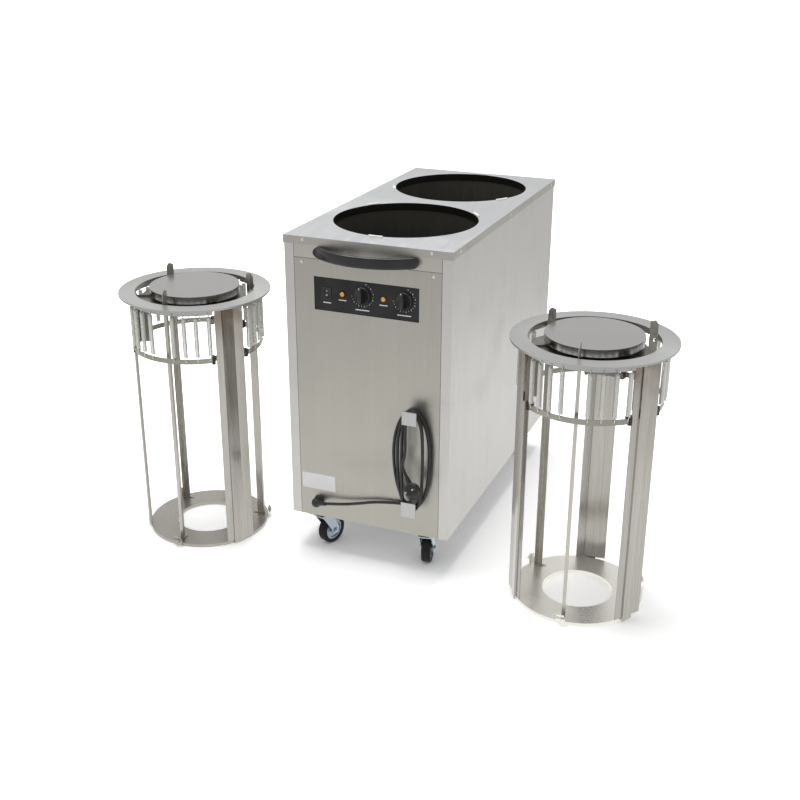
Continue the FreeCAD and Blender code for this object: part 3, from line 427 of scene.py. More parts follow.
# %% [markdown]
# Round each knob the fascia carries a printed dial: ticks and the numbers 1 to 9. Beneath the
# switch, the lamps and the knobs are plain pale strips. Print is thin, so each mark is a flat
# shape a tenth of a millimetre thick, just proud of the plate.

# %% Print on the fascia
FASCIA_FACE = 1.5
INK = 0.12


def mark(x, z, wide, high, turn=0.0):
    """A rectangle turned in the plane of the fascia, one tenth of a millimetre thick."""
    c, s = math.cos(turn), math.sin(turn)
    corners = np.array([(-1, -1), (1, -1), (1, 1), (-1, 1)]) * (wide / 2, high / 2)
    flat = corners @ np.array([(c, s), (-s, c)]) + (x, z)
    rows = [[(px, FASCIA_FACE - depth, pz) for px, pz in flat] for depth in (-0.05, INK)]
    return skin(np.array(rows))


def figure(text, x, z, size):
    """A number as a flat mesh on the fascia: the font's outline, filled and given thickness."""
    letters = bpy.data.curves.new("figure", "FONT")
    letters.body = text
    letters.size = size
    letters.extrude = INK / 2
    letters.align_x = "CENTER"
    letters.align_y = "CENTER"
    holder = bpy.data.objects.new("figure", letters)
    bpy.context.scene.collection.objects.link(holder)
    bpy.context.view_layer.update()
    mesh = bpy.data.meshes.new_from_object(holder.evaluated_get(bpy.context.evaluated_depsgraph_get()))
    bpy.data.objects.remove(holder)
    flat = np.zeros(len(mesh.vertices) * 3)
    mesh.vertices.foreach_get("co", flat)
    flat = flat.reshape(-1, 3)
    points = np.column_stack([flat[:, 0] + x, FASCIA_FACE - INK / 2 - flat[:, 2], flat[:, 1] + z])
    return points, [list(face.vertices) for face in mesh.polygons]


NUMBER_RING, TICK_RING = 29.5, 28.5
NUMBER_TALL = 5.6
FIRST_NUMBER, DIAL_STEP = 190, 30


def dial(x, z):
    """Numbers every 30 degrees on a ring, from the left round the bottom to the right, and a tick
    halfway between each pair."""
    shapes = []
    for k in range(9):
        angle = math.radians(FIRST_NUMBER + DIAL_STEP * k)
        spot = (x + NUMBER_RING * math.cos(angle), z + NUMBER_RING * math.sin(angle))
        shapes.append(figure(str(k + 1), *spot, NUMBER_TALL))
    for k in range(8):
        angle = math.radians(FIRST_NUMBER + DIAL_STEP * (k + 0.5))
        shapes.append(mark(x + TICK_RING * math.cos(angle), z + TICK_RING * math.sin(angle), 2.6, 0.7, angle))
    return shapes


prints = [dial(x, z) for x, z in KNOBS_AT]
prints = [shape for group in prints for shape in group]
STRIPS = ((-109.0, 722.0, 21.0), (-66.6, 733.0, 21.0), (45.0, 733.0, 21.0), (-12.0, 713.5, 37.0),
          (100.0, 713.5, 37.0))
STRIP_TALL = 2.6
prints += [mark(x, z, wide, STRIP_TALL) for x, z, wide in STRIPS]
add_piece("fascia_print", prints, "cabinet")

# %% [markdown]
# The rocker switch has the two usual signs, a bar and a ring, one on each half. They ride on
# the rocker, so they tilt with it.

# %% Signs on the rocker
SWITCH_AT = (-109.0, 747.0)
ROCKER_PIN_Y = 3.5
ROCKER_TILT = math.radians(-8)


def on_rocker(points):
    """Turn flat points about the rocker's pin by its rest tilt."""
    points = np.asarray(points, float)
    c, s = math.cos(ROCKER_TILT), math.sin(ROCKER_TILT)
    y, z = points[:, 1] - ROCKER_PIN_Y, points[:, 2] - SWITCH_AT[1]
    return np.column_stack([points[:, 0], ROCKER_PIN_Y + c * y - s * z, SWITCH_AT[1] + s * y + c * z])


def rocker_signs():
    """A bar above, and below it a ring: a circle carried round a circle."""
    x, z = SWITCH_AT
    bar = np.array([[(x + a * 0.6, y, z + 5.4 + b * 2.2) for a, b in ((-1, -1), (1, -1), (1, 1), (-1, 1))]
                    for y in (-0.2, -0.75)])
    u = np.linspace(0, 2 * np.pi, 24, endpoint=False)[:, None]
    v = np.linspace(0, 2 * np.pi, 8, endpoint=False)[None]
    ring = np.stack([x + (2.0 + 0.45 * np.cos(v)) * np.cos(u), -0.35 + 0.4 * np.sin(v) + 0 * u,
                     z - 5.4 + (2.0 + 0.45 * np.cos(v)) * np.sin(u)], axis=-1)
    skins = [skin(bar), skin(ring, loop=True)]
    return [(on_rocker(points), faces) for points, faces in skins]


add_piece("rocker_signs", rocker_signs(), "rocker")

# %% [markdown]
# The amber lamps are domed lenses with a moulded flute every 20 degrees and a dark collar.

# %% Indicator lamps
LAMPS_AT = ((-66.6, 748.6), (45.0, 749.0))


def lamp(x, z):
    """Dome turned from a quarter ellipse, with flutes as a cosine of the angle."""
    dome = [(0.4 + 4.2 * math.sin(a), 6.0 * math.cos(a)) for a in np.linspace(0, math.pi / 2, 12)]
    flutes = lambda angle: 1 - 0.02 * (1 + np.cos(18 * angle))
    return lathe([(-18.5, 0), (-18.5, 5.9), *dome], (x, 0, z), (0, -1, 0), steps=108, radius=flutes)


def lamp_collar(x, z):
    """Flat ring round the lens."""
    profile = np.array([(-1.45, 6.1), (0.6, 6.1), (1.0, 6.6), (0.9, 7.4), (-1.45, 7.8)])
    angle = np.linspace(0, 2 * np.pi, 48, endpoint=False)[:, None]
    grid = np.stack([x + profile[None, :, 1] * np.cos(angle), -profile[None, :, 0] + 0 * angle,
                     z + profile[None, :, 1] * np.sin(angle)], axis=-1)
    return skin(grid, loop=True)


add_piece("lamp_lenses", [lamp(x, z) for x, z in LAMPS_AT], "cabinet", ["indicator_lamps"])
add_piece("lamp_collars", [lamp_collar(x, z) for x, z in LAMPS_AT], "cabinet")

# %% [markdown]
# Each tube hangs its platform on 24 thin tension springs, which stretch as the platform goes
# down. In the CAD they are smooth rods; here each is a real coil, a wire carried round a helix.
# Hundreds of turns are repeated, so each turn has only a few dozen faces.

# %% Springs
TUBES = {"left": (-523.0, 45.0), "right": (562.0, 66.0)}
SPRING_ANGLES = {
    -90.0: (-39.0, -30.0, -20.0, -10.0, 11.0, 21.0, 31.0, 42.0),
    30.0: (-39.0, -30.0, -20.0, -10.0, 11.0, 21.0, 31.0, 42.0),
    150.0: (-38.5, -30.0, -20.0, -10.0, 10.0, 20.0, 30.0, 39.0),
}
SPRING_CIRCLE = 176.0
COIL_R = 5.0
WIRE_R = 1.1
COIL_LOW, COIL_HIGH = 565.0, 672.0
COIL_TURNS = 44
HOOK_LOW, HOOK_HIGH = 552.0, 684.0


def spring_line():
    """Helix of constant pitch between two hooks: the ends run in to the axis and bend over."""
    steps = COIL_TURNS * 9
    turn = np.linspace(0, 2 * np.pi * COIL_TURNS, steps + 1)
    z = COIL_LOW + (COIL_HIGH - COIL_LOW) * turn / turn[-1]
    coil = np.column_stack([COIL_R * np.cos(turn), COIL_R * np.sin(turn), z])
    bend = ((-2.6, -2.0), (-1.4, 0.6), (0.6, 0.0), (1.4, -6.0))
    low = [(x, 0, HOOK_LOW - past) for x, past in bend]
    high = [(x, 0, HOOK_HIGH + past) for x, past in bend[::-1]]
    return np.vstack([low, coil, high])


def wire(line, radius, sides=5):
    """Ring of points round each point of a line, square to the line there."""
    ahead = np.gradient(line, axis=0)
    ahead /= np.linalg.norm(ahead, axis=1)[:, None]
    first = np.cross(ahead, (0, 0, 1.0))
    first /= np.maximum(np.linalg.norm(first, axis=1), 1e-6)[:, None]
    second = np.cross(ahead, first)
    angle = np.linspace(0, 2 * np.pi, sides, endpoint=False)
    ring = np.cos(angle)[None, :, None] * first[:, None] + np.sin(angle)[None, :, None] * second[:, None]
    return skin(line[:, None] + radius * ring)


def turned(points, degrees, centre):
    """Points drawn on the +X radius, turned about the vertical and moved to a tube's centre."""
    c, s = math.cos(math.radians(degrees)), math.sin(math.radians(degrees))
    points = np.asarray(points, float)
    x = points[..., 0] * c - points[..., 1] * s + centre[0]
    y = points[..., 0] * s + points[..., 1] * c + centre[1]
    return np.stack([x, y, points[..., 2]], axis=-1)


spring_points, spring_faces = wire(spring_line(), WIRE_R)
spring_points = spring_points + (SPRING_CIRCLE, 0, 0)
for side, centre in TUBES.items():
    skins = [(place(turned(spring_points, a + s, centre)), spring_faces) for a, swings in SPRING_ANGLES.items()
             for s in swings]
    coils = bpy.data.objects.new(f"{side}_coil_springs", make_mesh(f"{side}_coil_springs", skins, crease=180.0))
    bpy.context.scene.collection.objects.link(coils)
    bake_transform(coils)
    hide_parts(f"{side}_springs")
    print(coils.name, len(coils.data.polygons), "faces")

# %% [markdown]
# Finishes. Brushed steel is the main one: fine lines along one direction, a little lighter and
# darker, with a roughness that follows them. Three effects are used by many materials, so each
# is a node group: brushed grain, handling marks, and dust that gathers near the floor.

# %% Node helpers
def put(tree, kind, **values):
    """Add a node and set its inputs by name."""
    node = tree.nodes.new(kind)
    for name, value in values.items():
        name = name.replace("_", " ")
        if name in node.inputs:
            node.inputs[name].default_value = value
        else:
            setattr(node, name.replace(" ", "_"), value)
    return node


def join(tree, out, into):
    tree.links.new(out, into)


def new_group(name, inputs, outputs):
    """A shader node group with named sockets; each is (name, kind, default)."""
    tree = bpy.data.node_groups.new(name, "ShaderNodeTree")
    for socket, kind, default in inputs:
        made = tree.interface.new_socket(socket, in_out="INPUT", socket_type="NodeSocket" + kind)
        if default is not None:
            made.default_value = default
    for socket, kind in outputs:
        tree.interface.new_socket(socket, in_out="OUTPUT", socket_type="NodeSocket" + kind)
    return tree, tree.nodes.new("NodeGroupInput"), tree.nodes.new("NodeGroupOutput")


def map_range(tree, value, low, high, to_low=0.0, to_high=1.0):
    """Smooth step from low to high, between two results."""
    node = put(tree, "ShaderNodeMapRange", interpolation_type="SMOOTHSTEP")
    for name, setting in (("From Min", low), ("From Max", high), ("To Min", to_low), ("To Max", to_high)):
        if isinstance(setting, bpy.types.NodeSocket):
            join(tree, setting, node.inputs[name])
        else:
            node.inputs[name].default_value = setting
    join(tree, value, node.inputs["Value"])
    return node.outputs["Result"]


def maths(tree, operation, a, b=None):
    node = put(tree, "ShaderNodeMath", operation=operation)
    for index, value in enumerate((a, b)):
        if isinstance(value, bpy.types.NodeSocket):
            join(tree, value, node.inputs[index])
        elif value is not None:
            node.inputs[index].default_value = value
    return node.outputs["Value"]


def mix_colour(tree, share, a, b, blend="MIX"):
    node = put(tree, "ShaderNodeMix", data_type="RGBA", blend_type=blend)
    for index, value in ((0, share), (6, a), (7, b)):
        if isinstance(value, bpy.types.NodeSocket):
            join(tree, value, node.inputs[index])
        else:
            node.inputs[index].default_value = value if index == 0 else (*value, 1.0)
    return node.outputs[2]


# %% [markdown]
# The grain group reads coordinates that are already stretched along the brushing direction. A
# fine noise gives the lines and a broad one the slow change from sheet to sheet.

# %% Brushed grain
def grain_group():
    tree, source, result = new_group(
        "brushed grain",
        [("Vector", "Vector", None), ("Tone", "Color", (0.5, 0.5, 0.5, 1.0)), ("Depth", "Float", 0.1),
         ("Smooth", "Float", 0.25), ("Rough", "Float", 0.4)],
        [("Color", "Color"), ("Roughness", "Float"), ("Height", "Float")])
    fine = put(tree, "ShaderNodeTexNoise", Scale=1.0, Detail=3.0, Roughness=0.6)
    join(tree, source.outputs["Vector"], fine.inputs["Vector"])
    broad = put(tree, "ShaderNodeTexNoise", Scale=0.06, Detail=2.0, Roughness=0.5)
    join(tree, source.outputs["Vector"], broad.inputs["Vector"])
    lines = map_range(tree, fine.outputs["Fac"], 0.3, 0.7)
    slow = map_range(tree, broad.outputs["Fac"], 0.25, 0.75)
    both = maths(tree, "ADD", maths(tree, "MULTIPLY", lines, 0.75), maths(tree, "MULTIPLY", slow, 0.25))
    share = maths(tree, "MULTIPLY", maths(tree, "SUBTRACT", 1.0, both), source.outputs["Depth"])
    colour = mix_colour(tree, share, (0, 0, 0), (0, 0, 0))
    mix = colour.node
    join(tree, source.outputs["Tone"], mix.inputs[6])
    join(tree, colour, result.inputs["Color"])
    join(tree, map_range(tree, lines, 0.0, 1.0, source.outputs["Smooth"], source.outputs["Rough"]),
         result.inputs["Roughness"])
    join(tree, lines, result.inputs["Height"])
    return tree


def marks_group():
    """Faint smears where hands and cloths have been: one noise, cut to patches by a smooth step."""
    tree, source, result = new_group(
        "handling marks", [("Vector", "Vector", None), ("Size", "Float", 6.0), ("Amount", "Float", 0.1)],
        [("Value", "Float")])
    wide = put(tree, "ShaderNodeTexNoise", Detail=4.0, Roughness=0.55, Distortion=0.6)
    join(tree, source.outputs["Vector"], wide.inputs["Vector"])
    join(tree, source.outputs["Size"], wide.inputs["Scale"])
    smear = map_range(tree, wide.outputs["Fac"], 0.45, 0.75)
    join(tree, maths(tree, "MULTIPLY", smear, source.outputs["Amount"]), result.inputs["Value"])
    return tree


def dust_group():
    """Dust thickest at the floor: a mask that fades upward and is broken up by noise."""
    tree, source, result = new_group(
        "floor dust", [("Vector", "Vector", None), ("Top", "Float", 0.12), ("Amount", "Float", 0.2)],
        [("Mask", "Float")])
    apart = put(tree, "ShaderNodeSeparateXYZ")
    join(tree, source.outputs["Vector"], apart.inputs[0])
    height = map_range(tree, apart.outputs["Z"], 0.0, source.outputs["Top"], 1.0, 0.0)
    speck = put(tree, "ShaderNodeTexNoise", Scale=90.0, Detail=3.0, Roughness=0.7)
    join(tree, source.outputs["Vector"], speck.inputs["Vector"])
    broken = map_range(tree, speck.outputs["Fac"], 0.35, 0.65)
    join(tree, maths(tree, "MULTIPLY", maths(tree, "MULTIPLY", height, broken), source.outputs["Amount"]),
         result.inputs["Mask"])
    return tree


GRAIN = grain_group()
MARKS = marks_group()
DUST = dust_group()
print("node groups", [tree.name for tree in (GRAIN, MARKS, DUST)])

# %% [markdown]
# One function builds every steel. It takes the brushing direction as three stretches, so a lid
# brushed across and a post brushed upright share one recipe. Tone, depth of grain and shine
# differ from sheet to sheet, as they do on the real cart, but some of those tones are painted
# light and shade: the sides are painted lighter than the front, the right base ring is painted
# bright and the left one darker, and the carrier and the wells' walls are painted dark as shade.
# The deck's top is painted cooler and lighter than its skirt, and its collars in the wells are
# painted dark as shade, so its tone also goes by height and by distance from a well.

# %% Steel
def use_group(tree, group, vector, **values):
    node = tree.nodes.new("ShaderNodeGroup")
    node.node_tree = group
    join(tree, vector, node.inputs["Vector"])
    for name, value in values.items():
        node.inputs[name].default_value = (*value, 1.0) if name == "Tone" else value
    return node


def start_material(name):
    material = bpy.data.materials.new(name)
    material.use_nodes = True
    tree = material.node_tree
    shader = tree.nodes["Principled BSDF"]
    where = tree.nodes.new("ShaderNodeTexCoord").outputs["Object"]
    return material, tree, shader, where


def stretched(tree, where, scale, location=(0, 0, 0)):
    mapping = put(tree, "ShaderNodeMapping")
    mapping.inputs["Scale"].default_value = scale
    mapping.inputs["Location"].default_value = location
    join(tree, where, mapping.inputs["Vector"])
    return mapping.outputs["Vector"]


def bump(tree, shader, height, strength, distance):
    node = put(tree, "ShaderNodeBump", Strength=strength, Distance=distance)
    join(tree, height, node.inputs["Height"])
    join(tree, node.outputs["Normal"], shader.inputs["Normal"])
    return node


def steel(name, tone, grain=(500, 500, 6), depth=0.16, smooth=0.24, rough=0.40, marks=0.10, dust=0.0, heat=None,
          metallic=0.9, turned=0.0, painted_light_zones=(), well_shade=None):
    """Brushed stainless steel. heat is (low z, high z, tint) for colour left by welding; turned is
    how much the shine is stretched across grain that runs round the piece; the other tones below
    given heights are painted light and shade, and the tone inside the two wells is painted shade."""
    material, tree, shader, where = start_material(name)
    shader.inputs["Metallic"].default_value = metallic
    if turned:
        shader.inputs["Anisotropic"].default_value = turned
        round_it = put(tree, "ShaderNodeTangent", direction_type="RADIAL", axis="Z")
        join(tree, round_it.outputs["Tangent"], shader.inputs["Tangent"])
    brushed = use_group(tree, GRAIN, stretched(tree, where, grain), Tone=tone, Depth=depth,
                        Smooth=smooth, Rough=rough)
    smear = use_group(tree, MARKS, where, Size=5.0, Amount=marks)
    colour = brushed.outputs["Color"]
    if heat:
        apart = put(tree, "ShaderNodeSeparateXYZ")
        join(tree, where, apart.inputs[0])
        stain = put(tree, "ShaderNodeTexNoise", Scale=14.0, Detail=3.0)
        join(tree, where, stain.inputs["Vector"])
        reach = map_range(tree, apart.outputs["Z"], heat[0], heat[1])
        share = maths(tree, "MULTIPLY", reach, map_range(tree, stain.outputs["Fac"], 0.35, 0.65, 0.2, 0.9))
        colour = mix_colour(tree, share, colour, heat[2])
    # Painted light and shade: another tone below a given height.
    for level, below in painted_light_zones:
        height = put(tree, "ShaderNodeSeparateXYZ")
        join(tree, where, height.inputs[0])
        colour = mix_colour(tree, maths(tree, "LESS_THAN", height.outputs["Z"], level), colour, below)
    # Painted shade: a dark tone inside each well.
    for centre in WELLS if well_shade else ():
        away = put(tree, "ShaderNodeVectorMath", operation="DISTANCE")
        join(tree, stretched(tree, where, (1, 1, 0)), away.inputs[0])
        away.inputs[1].default_value = (*centre, 0)
        colour = mix_colour(tree, maths(tree, "LESS_THAN", away.outputs["Value"], WELL_EDGE), colour, well_shade)
    if dust:
        layer = use_group(tree, DUST, where, Top=0.10, Amount=dust)
        colour = mix_colour(tree, layer.outputs["Mask"], colour, (0.55, 0.53, 0.50))
    join(tree, colour, shader.inputs["Base Color"])
    worn = maths(tree, "ADD", brushed.outputs["Roughness"], smear.outputs["Value"])
    join(tree, worn, shader.inputs["Roughness"])
    bump(tree, shader, brushed.outputs["Height"], 0.10, 0.0004)
    return material


def plastic(name, tone, rough=(0.3, 0.45), texture=900.0, strength=0.1, marks=0.1, coat=0.0, dust=0.0,
            shine=0.5):
    """Moulded plastic or rubber: a fine spark texture, soft change of tone, and faint marks."""
    material, tree, shader, where = start_material(name)
    grit = put(tree, "ShaderNodeTexNoise", Scale=texture, Detail=2.0, Roughness=0.6)
    join(tree, where, grit.inputs["Vector"])
    cloud = put(tree, "ShaderNodeTexNoise", Scale=22.0, Detail=3.0)
    join(tree, where, cloud.inputs["Vector"])
    paler = tuple(min(1.0, c * 1.35 + 0.006) for c in tone)
    share = map_range(tree, cloud.outputs["Fac"], 0.3, 0.7)
    colour = mix_colour(tree, share, tone, paler)
    if dust:
        layer = use_group(tree, DUST, where, Top=0.10, Amount=dust)
        colour = mix_colour(tree, layer.outputs["Mask"], colour, (0.40, 0.38, 0.35))
    join(tree, colour, shader.inputs["Base Color"])
    smear = use_group(tree, MARKS, where, Size=18.0, Amount=marks)
    level = map_range(tree, grit.outputs["Fac"], 0.3, 0.7, rough[0], rough[1])
    join(tree, maths(tree, "ADD", level, smear.outputs["Value"]), shader.inputs["Roughness"])
    shader.inputs["Specular IOR Level"].default_value = shine
    shader.inputs["Coat Weight"].default_value = coat
    shader.inputs["Coat Roughness"].default_value = 0.08
    bump(tree, shader, grit.outputs["Fac"], strength, 0.0003)
    return material


DECK_Z = 0.8874
WELLS = [place((0, y, 0))[:2].tolist() for y in (260.5, 692.0)]
WELL_EDGE = 0.1911
UPRIGHT = (700, 700, 7)
ACROSS = (7, 700, 700)
DEEP = (700, 7, 700)
ROUND = (400, 400, 400)
FINE = (300, 300, 300)
CLOUDY = (120, 120, 120)
STEELS = {
    "front steel": dict(tone=(0.45, 0.435, 0.39), grain=UPRIGHT, depth=0.10, smooth=0.30, rough=0.42),
    "handle panel steel": dict(tone=(0.52, 0.505, 0.455), grain=UPRIGHT, depth=0.10, smooth=0.30, rough=0.42),
    # The side sheets' tone is painted lighter than the front's, as the light falling on them.
    "side steel painted light": dict(tone=(0.60, 0.585, 0.555), grain=UPRIGHT, depth=0.08, smooth=0.32, rough=0.46),
    "back steel": dict(tone=(0.46, 0.445, 0.405), grain=UPRIGHT, depth=0.10, smooth=0.30, rough=0.42),
    # The deck's top tone is painted cooler and lighter than its skirt, as light from above; the tone below the
    # top is the skirt's.
    "deck steel painted light and shade": dict(tone=(0.52, 0.53, 0.535), grain=DEEP, depth=0.10, smooth=0.30, rough=0.44,
                       # The tone inside the wells is painted shade.
                       painted_light_zones=((DECK_Z - 0.0012, (0.44, 0.425, 0.385)),), well_shade=(0.030, 0.028, 0.024)),
    "inner steel": dict(tone=(0.36, 0.36, 0.36), grain=ACROSS, depth=0.2, smooth=0.35, rough=0.55),
    # The wells' walls are painted near black, as the shade inside them.
    "well steel painted shade": dict(tone=(0.085, 0.082, 0.070), grain=UPRIGHT, depth=0.3, smooth=0.40, rough=0.60,
                       metallic=0.6),
    "element steel": dict(tone=(0.16, 0.12, 0.09), grain=(90, 90, 90), depth=0.4, smooth=0.4, rough=0.6),
    "clip steel": dict(tone=(0.90, 0.89, 0.86), grain=FINE, depth=0.06, smooth=0.30, rough=0.42, metallic=0.6),
    "screw steel": dict(tone=(0.70, 0.69, 0.66), grain=FINE, depth=0.08, smooth=0.14, rough=0.26),
    "hook steel": dict(tone=(0.52, 0.52, 0.51), grain=UPRIGHT, depth=0.06, smooth=0.34, rough=0.48),
    "flange steel": dict(tone=(0.46, 0.46, 0.45), grain=ROUND, depth=0.06, smooth=0.28, rough=0.36, turned=0.4),
    "disc steel": dict(tone=(0.42, 0.41, 0.40), grain=ROUND, depth=0.05, smooth=0.18, rough=0.24, metallic=1.0),
    # The two base rings are lit and shaded copies: the right one is painted bright as reflected light, the left
    # one painted darker as shade.
    "left base steel painted shade": dict(tone=(0.44, 0.42, 0.38), grain=ROUND, depth=0.08, smooth=0.26, rough=0.34),
    "right base steel painted light": dict(tone=(0.90, 0.885, 0.82), grain=ROUND, depth=0.08, smooth=0.26, rough=0.34),
    "rail steel": dict(tone=(0.50, 0.48, 0.44), grain=UPRIGHT, depth=0.30, smooth=0.12, rough=0.24,
                       heat=(0.56, 0.70, (0.20, 0.155, 0.10))),
    # The carrier is painted dark, as the shade it sits in under the disc.
    "carrier steel painted shade": dict(tone=(0.26, 0.25, 0.23), grain=UPRIGHT, depth=0.2, smooth=0.3, rough=0.45),
    "band steel": dict(tone=(0.38, 0.365, 0.31), grain=ACROSS, depth=0.16, smooth=0.25, rough=0.4),
    "guide steel": dict(tone=(0.54, 0.52, 0.47), grain=UPRIGHT, depth=0.16, smooth=0.20, rough=0.34),
    "spring zinc": dict(tone=(0.92, 0.93, 0.88), grain=(160, 160, 160), depth=0.10, smooth=0.26, rough=0.40,
                        metallic=0.75),
    "caster zinc": dict(tone=(0.46, 0.53, 0.60), grain=CLOUDY, depth=0.3, smooth=0.2, rough=0.42, dust=0.12),
    "wheel zinc": dict(tone=(0.36, 0.42, 0.48), grain=CLOUDY, depth=0.3, smooth=0.3, rough=0.5, dust=0.12),
}
FINISHES = {name: steel(name, **recipe) for name, recipe in STEELS.items()}

# %% [markdown]
# The blacks differ in shine more than in colour: the handle is polished, the fascia is a satin
# film, the cord is soft plastic and the tyres are dull rubber with floor dust in them.

# %% Plastics, rubber and print
PLASTICS = {
    "handle gloss": dict(tone=(0.010, 0.010, 0.010), rough=(0.14, 0.20), texture=60.0, strength=0.02,
                         marks=0.05, coat=0.15, shine=0.4),
    "fascia film": dict(tone=(0.020, 0.020, 0.021), rough=(0.34, 0.46), texture=1400.0, strength=0.06,
                        marks=0.08, shine=0.25),
    "black plastic": dict(tone=(0.014, 0.014, 0.015), rough=(0.28, 0.42), texture=1100.0, strength=0.08),
    "cord plastic": dict(tone=(0.014, 0.013, 0.012), rough=(0.34, 0.48), texture=700.0, strength=0.10),
    "plug plastic": dict(tone=(0.012, 0.012, 0.012), rough=(0.24, 0.38), texture=900.0, strength=0.08),
    "tyre rubber": dict(tone=(0.014, 0.013, 0.012), rough=(0.50, 0.70), texture=500.0, strength=0.25, dust=0.05,
                        shine=0.12),
    "block plastic": dict(tone=(0.030, 0.020, 0.013), rough=(0.40, 0.55), texture=600.0, strength=0.15),
    "print white": dict(tone=(0.78, 0.78, 0.76), rough=(0.40, 0.50), texture=900.0, strength=0.05, marks=0.0),
    "sticker white": dict(tone=(0.96, 0.96, 0.95), rough=(0.35, 0.45), texture=300.0, strength=0.05,
                          marks=0.08),
}
FINISHES.update({name: plastic(name, **recipe) for name, recipe in PLASTICS.items()})


def amber_lens():
    """Tinted lens with a faint, even glow, its tint and roughness broken up by one fine noise."""
    material, tree, shader, where = start_material("lamp amber")
    cloud = put(tree, "ShaderNodeTexNoise", Scale=260.0, Detail=2.0)
    join(tree, where, cloud.inputs["Vector"])
    share = map_range(tree, cloud.outputs["Fac"], 0.35, 0.65)
    colour = mix_colour(tree, share, (0.62, 0.25, 0.01), (0.80, 0.40, 0.03))
    join(tree, colour, shader.inputs["Base Color"])
    join(tree, colour, shader.inputs["Emission Color"])
    shader.inputs["Emission Strength"].default_value = 0.25
    join(tree, map_range(tree, cloud.outputs["Fac"], 0.3, 0.7, 0.12, 0.24), shader.inputs["Roughness"])
    shader.inputs["Coat Weight"].default_value = 0.5
    bump(tree, shader, cloud.outputs["Fac"], 0.05, 0.0004)
    return material


FINISHES["lamp amber"] = amber_lens()
print("finishes", len(FINISHES))

# %% [markdown]
# Now every piece gets its finish: the CAD nodes by name, then the new pieces.

# %% Who wears what
WEARS = {
    "front steel": ["front_panel"],
    "handle panel steel": ["handle_panel"],
    "side steel painted light": ["right_side_panel", "left_side_panel"],
    "back steel": ["back_panel"],
    "deck steel painted light and shade": ["top_panel"],
    "inner steel": ["inner_frame"],
    "well steel painted shade": ["front_well", "rear_well"],
    "element steel": ["heating_elements"],
    "clip steel": ["rim_clips"],
    "screw steel": ["panel_screws", "plug_pins"],
    "hook steel": ["cord_hooks"],
    "fascia film": ["control_fascia"],
    "black plastic": ["switchgear", "rocker", "dial_knob_1", "dial_knob_2", "gland", "lamp_collars"],
    "lamp amber": ["lamp_lenses"],
    "handle gloss": ["bowed_handle"],
    "print white": ["fascia_print", "rocker_signs", "knob_pointer_1", "knob_pointer_2"],
    "sticker white": ["rating_plate"],
    "cord plastic": ["power_cord"],
    "plug plastic": ["mains_plug"],
    "caster zinc": ["caster_plates"] + [n for n in NODES if n.startswith("fork_")],
    "wheel zinc": [n for n in NODES if n.startswith("wheel_")],
    "tyre rubber": [n for n in NODES if n.startswith("tyre_")],
    "flange steel": ["left_flange_ring", "right_flange_ring"],
    "left base steel painted shade": ["left_base_ring"],
    "right base steel painted light": ["right_base_ring"],
    "rail steel": ["left_rails", "right_rails"],
    "disc steel": ["left_platform_disc", "right_platform_disc"],
    "carrier steel painted shade": ["left_platform_carrier", "right_platform_carrier"],
    "block plastic": ["left_guide_blocks", "right_guide_blocks"],
    "band steel": ["left_spring_band", "right_spring_band"],
    "guide steel": [n for n in NODES if "_guide_" in n and not n.endswith("blocks")],
    "spring zinc": ["left_coil_springs", "right_coil_springs"],
}
for finish, names in WEARS.items():
    for name in names:
        data = bpy.data.objects[name].data
        data.materials.clear()
        data.materials.append(FINISHES[finish])
bare = [n for n, o in NODES.items() if not o.hide_render and o.data.materials[0].name not in FINISHES]
print("CAD nodes without a finish:", bare)

# %% [markdown]
# The floor is plain and white. To the camera it is a matt white with soft shadows. In reflections
# most of its brightness is its own, and it darkens away from the cart, so that upright sheets get
# a slow change of tone from foot to top. The world is white too, a little darker towards the
# viewer, as a room is behind the photographer.

# %% Floor and world
def looked_at(tree):
    """One for rays from the camera, and for those that come by a reflection or through glass."""
    path = tree.nodes.new("ShaderNodeLightPath")
    seen = maths(tree, "MAXIMUM", path.outputs["Is Camera Ray"], path.outputs["Is Glossy Ray"])
    return maths(tree, "MAXIMUM", seen, path.outputs["Is Transmission Ray"])


def floor_material():
    material = bpy.data.materials.new("studio floor")
    material.use_nodes = True
    tree = material.node_tree
    tree.nodes.clear()
    output = tree.nodes.new("ShaderNodeOutputMaterial")
    seen = looked_at(tree)
    away = put(tree, "ShaderNodeVectorMath", operation="LENGTH")
    join(tree, tree.nodes.new("ShaderNodeTexCoord").outputs["Object"], away.inputs[0])
    paper = map_range(tree, away.outputs["Value"], 0.7, 1.9, 1.5, 2.3)
    matt = tree.nodes.new("ShaderNodeBsdfDiffuse")
    join(tree, mix_colour(tree, seen, (0.72, 0.72, 0.72), paper), matt.inputs["Color"])
    glow = tree.nodes.new("ShaderNodeEmission")
    join(tree, map_range(tree, away.outputs["Value"], 0.8, 2.6, 1.12, 0.62), glow.inputs["Strength"])
    mix = tree.nodes.new("ShaderNodeMixShader")
    path = tree.nodes.new("ShaderNodeLightPath")
    join(tree, maths(tree, "MULTIPLY", path.outputs["Is Glossy Ray"], 0.85), mix.inputs[0])
    join(tree, matt.outputs[0], mix.inputs[1])
    join(tree, glow.outputs[0], mix.inputs[2])
    join(tree, mix.outputs[0], output.inputs["Surface"])
    return material


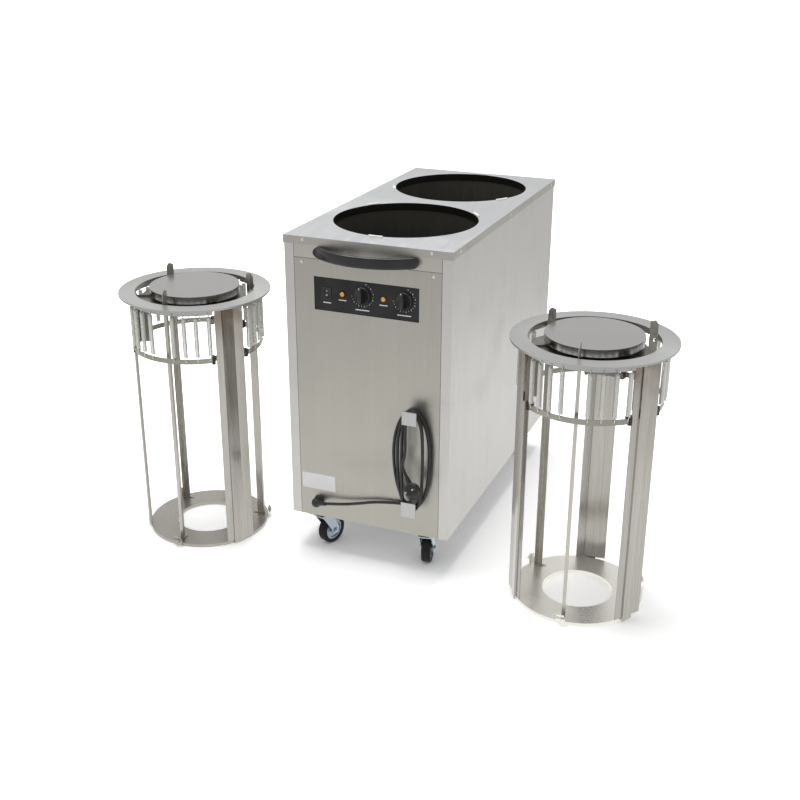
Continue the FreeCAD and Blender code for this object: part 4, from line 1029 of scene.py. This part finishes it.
FLOOR_HALF = 30.0
FLOOR_CORNERS = ((-1, -1), (1, -1), (1, 1), (-1, 1))
floor_mesh = bpy.data.meshes.new("studio_floor")
floor_mesh.from_pydata([(x * FLOOR_HALF, y * FLOOR_HALF, 0.0) for x, y in FLOOR_CORNERS], [], [(0, 1, 2, 3)])
floor = bpy.data.objects.new("studio_floor", floor_mesh)
bpy.context.scene.collection.objects.link(floor)
floor_mesh.materials.append(floor_material())

LIGHT_LEVEL = 0.72
world = bpy.data.worlds.new("studio")
bpy.context.scene.world = world
world.use_nodes = True
tree = world.node_tree
tree.nodes.clear()
output = tree.nodes.new("ShaderNodeOutputWorld")
direction = tree.nodes.new("ShaderNodeTexCoord").outputs["Generated"]
toward_viewer = put(tree, "ShaderNodeVectorMath", operation="DOT_PRODUCT")
join(tree, direction, toward_viewer.inputs[0])
toward_viewer.inputs[1].default_value = (0.376, -0.927, 0.0)
path = tree.nodes.new("ShaderNodeLightPath")
mirrored_ray = maths(tree, "MAXIMUM", path.outputs["Is Glossy Ray"], path.outputs["Is Transmission Ray"])
room = map_range(tree, toward_viewer.outputs["Value"], -0.1, 0.9, 1.0, 0.72)
shown = maths(tree, "MAXIMUM", path.outputs["Is Camera Ray"], maths(tree, "MULTIPLY", mirrored_ray, room))
lit = put(tree, "ShaderNodeBackground", Strength=LIGHT_LEVEL)
seen_back = put(tree, "ShaderNodeBackground")
join(tree, shown, seen_back.inputs["Strength"])
mix = tree.nodes.new("ShaderNodeMixShader")
join(tree, maths(tree, "GREATER_THAN", shown, 0.01), mix.inputs[0])
join(tree, lit.outputs[0], mix.inputs[1])
join(tree, seen_back.outputs[0], mix.inputs[2])
join(tree, mix.outputs[0], output.inputs["Surface"])

# %% [markdown]
# One large soft lamp hangs nearly overhead, a little to the left, so shadows stay close and soft.

# %% Lamp
def soft_lamp(name, at, toward, size, power):
    light = bpy.data.lights.new(name, "AREA")
    light.shape = "SQUARE"
    light.size = size
    light.energy = power
    lamp_object = bpy.data.objects.new(name, light)
    lamp_object.location = at
    lamp_object.rotation_euler = (Vector(toward) - Vector(at)).to_track_quat("-Z", "Y").to_euler()
    bpy.context.scene.collection.objects.link(lamp_object)


soft_lamp("overhead_lamp", (-0.5, 0.1, 3.2), (0.0, 0.0, 0.4), 2.2, 85.0)
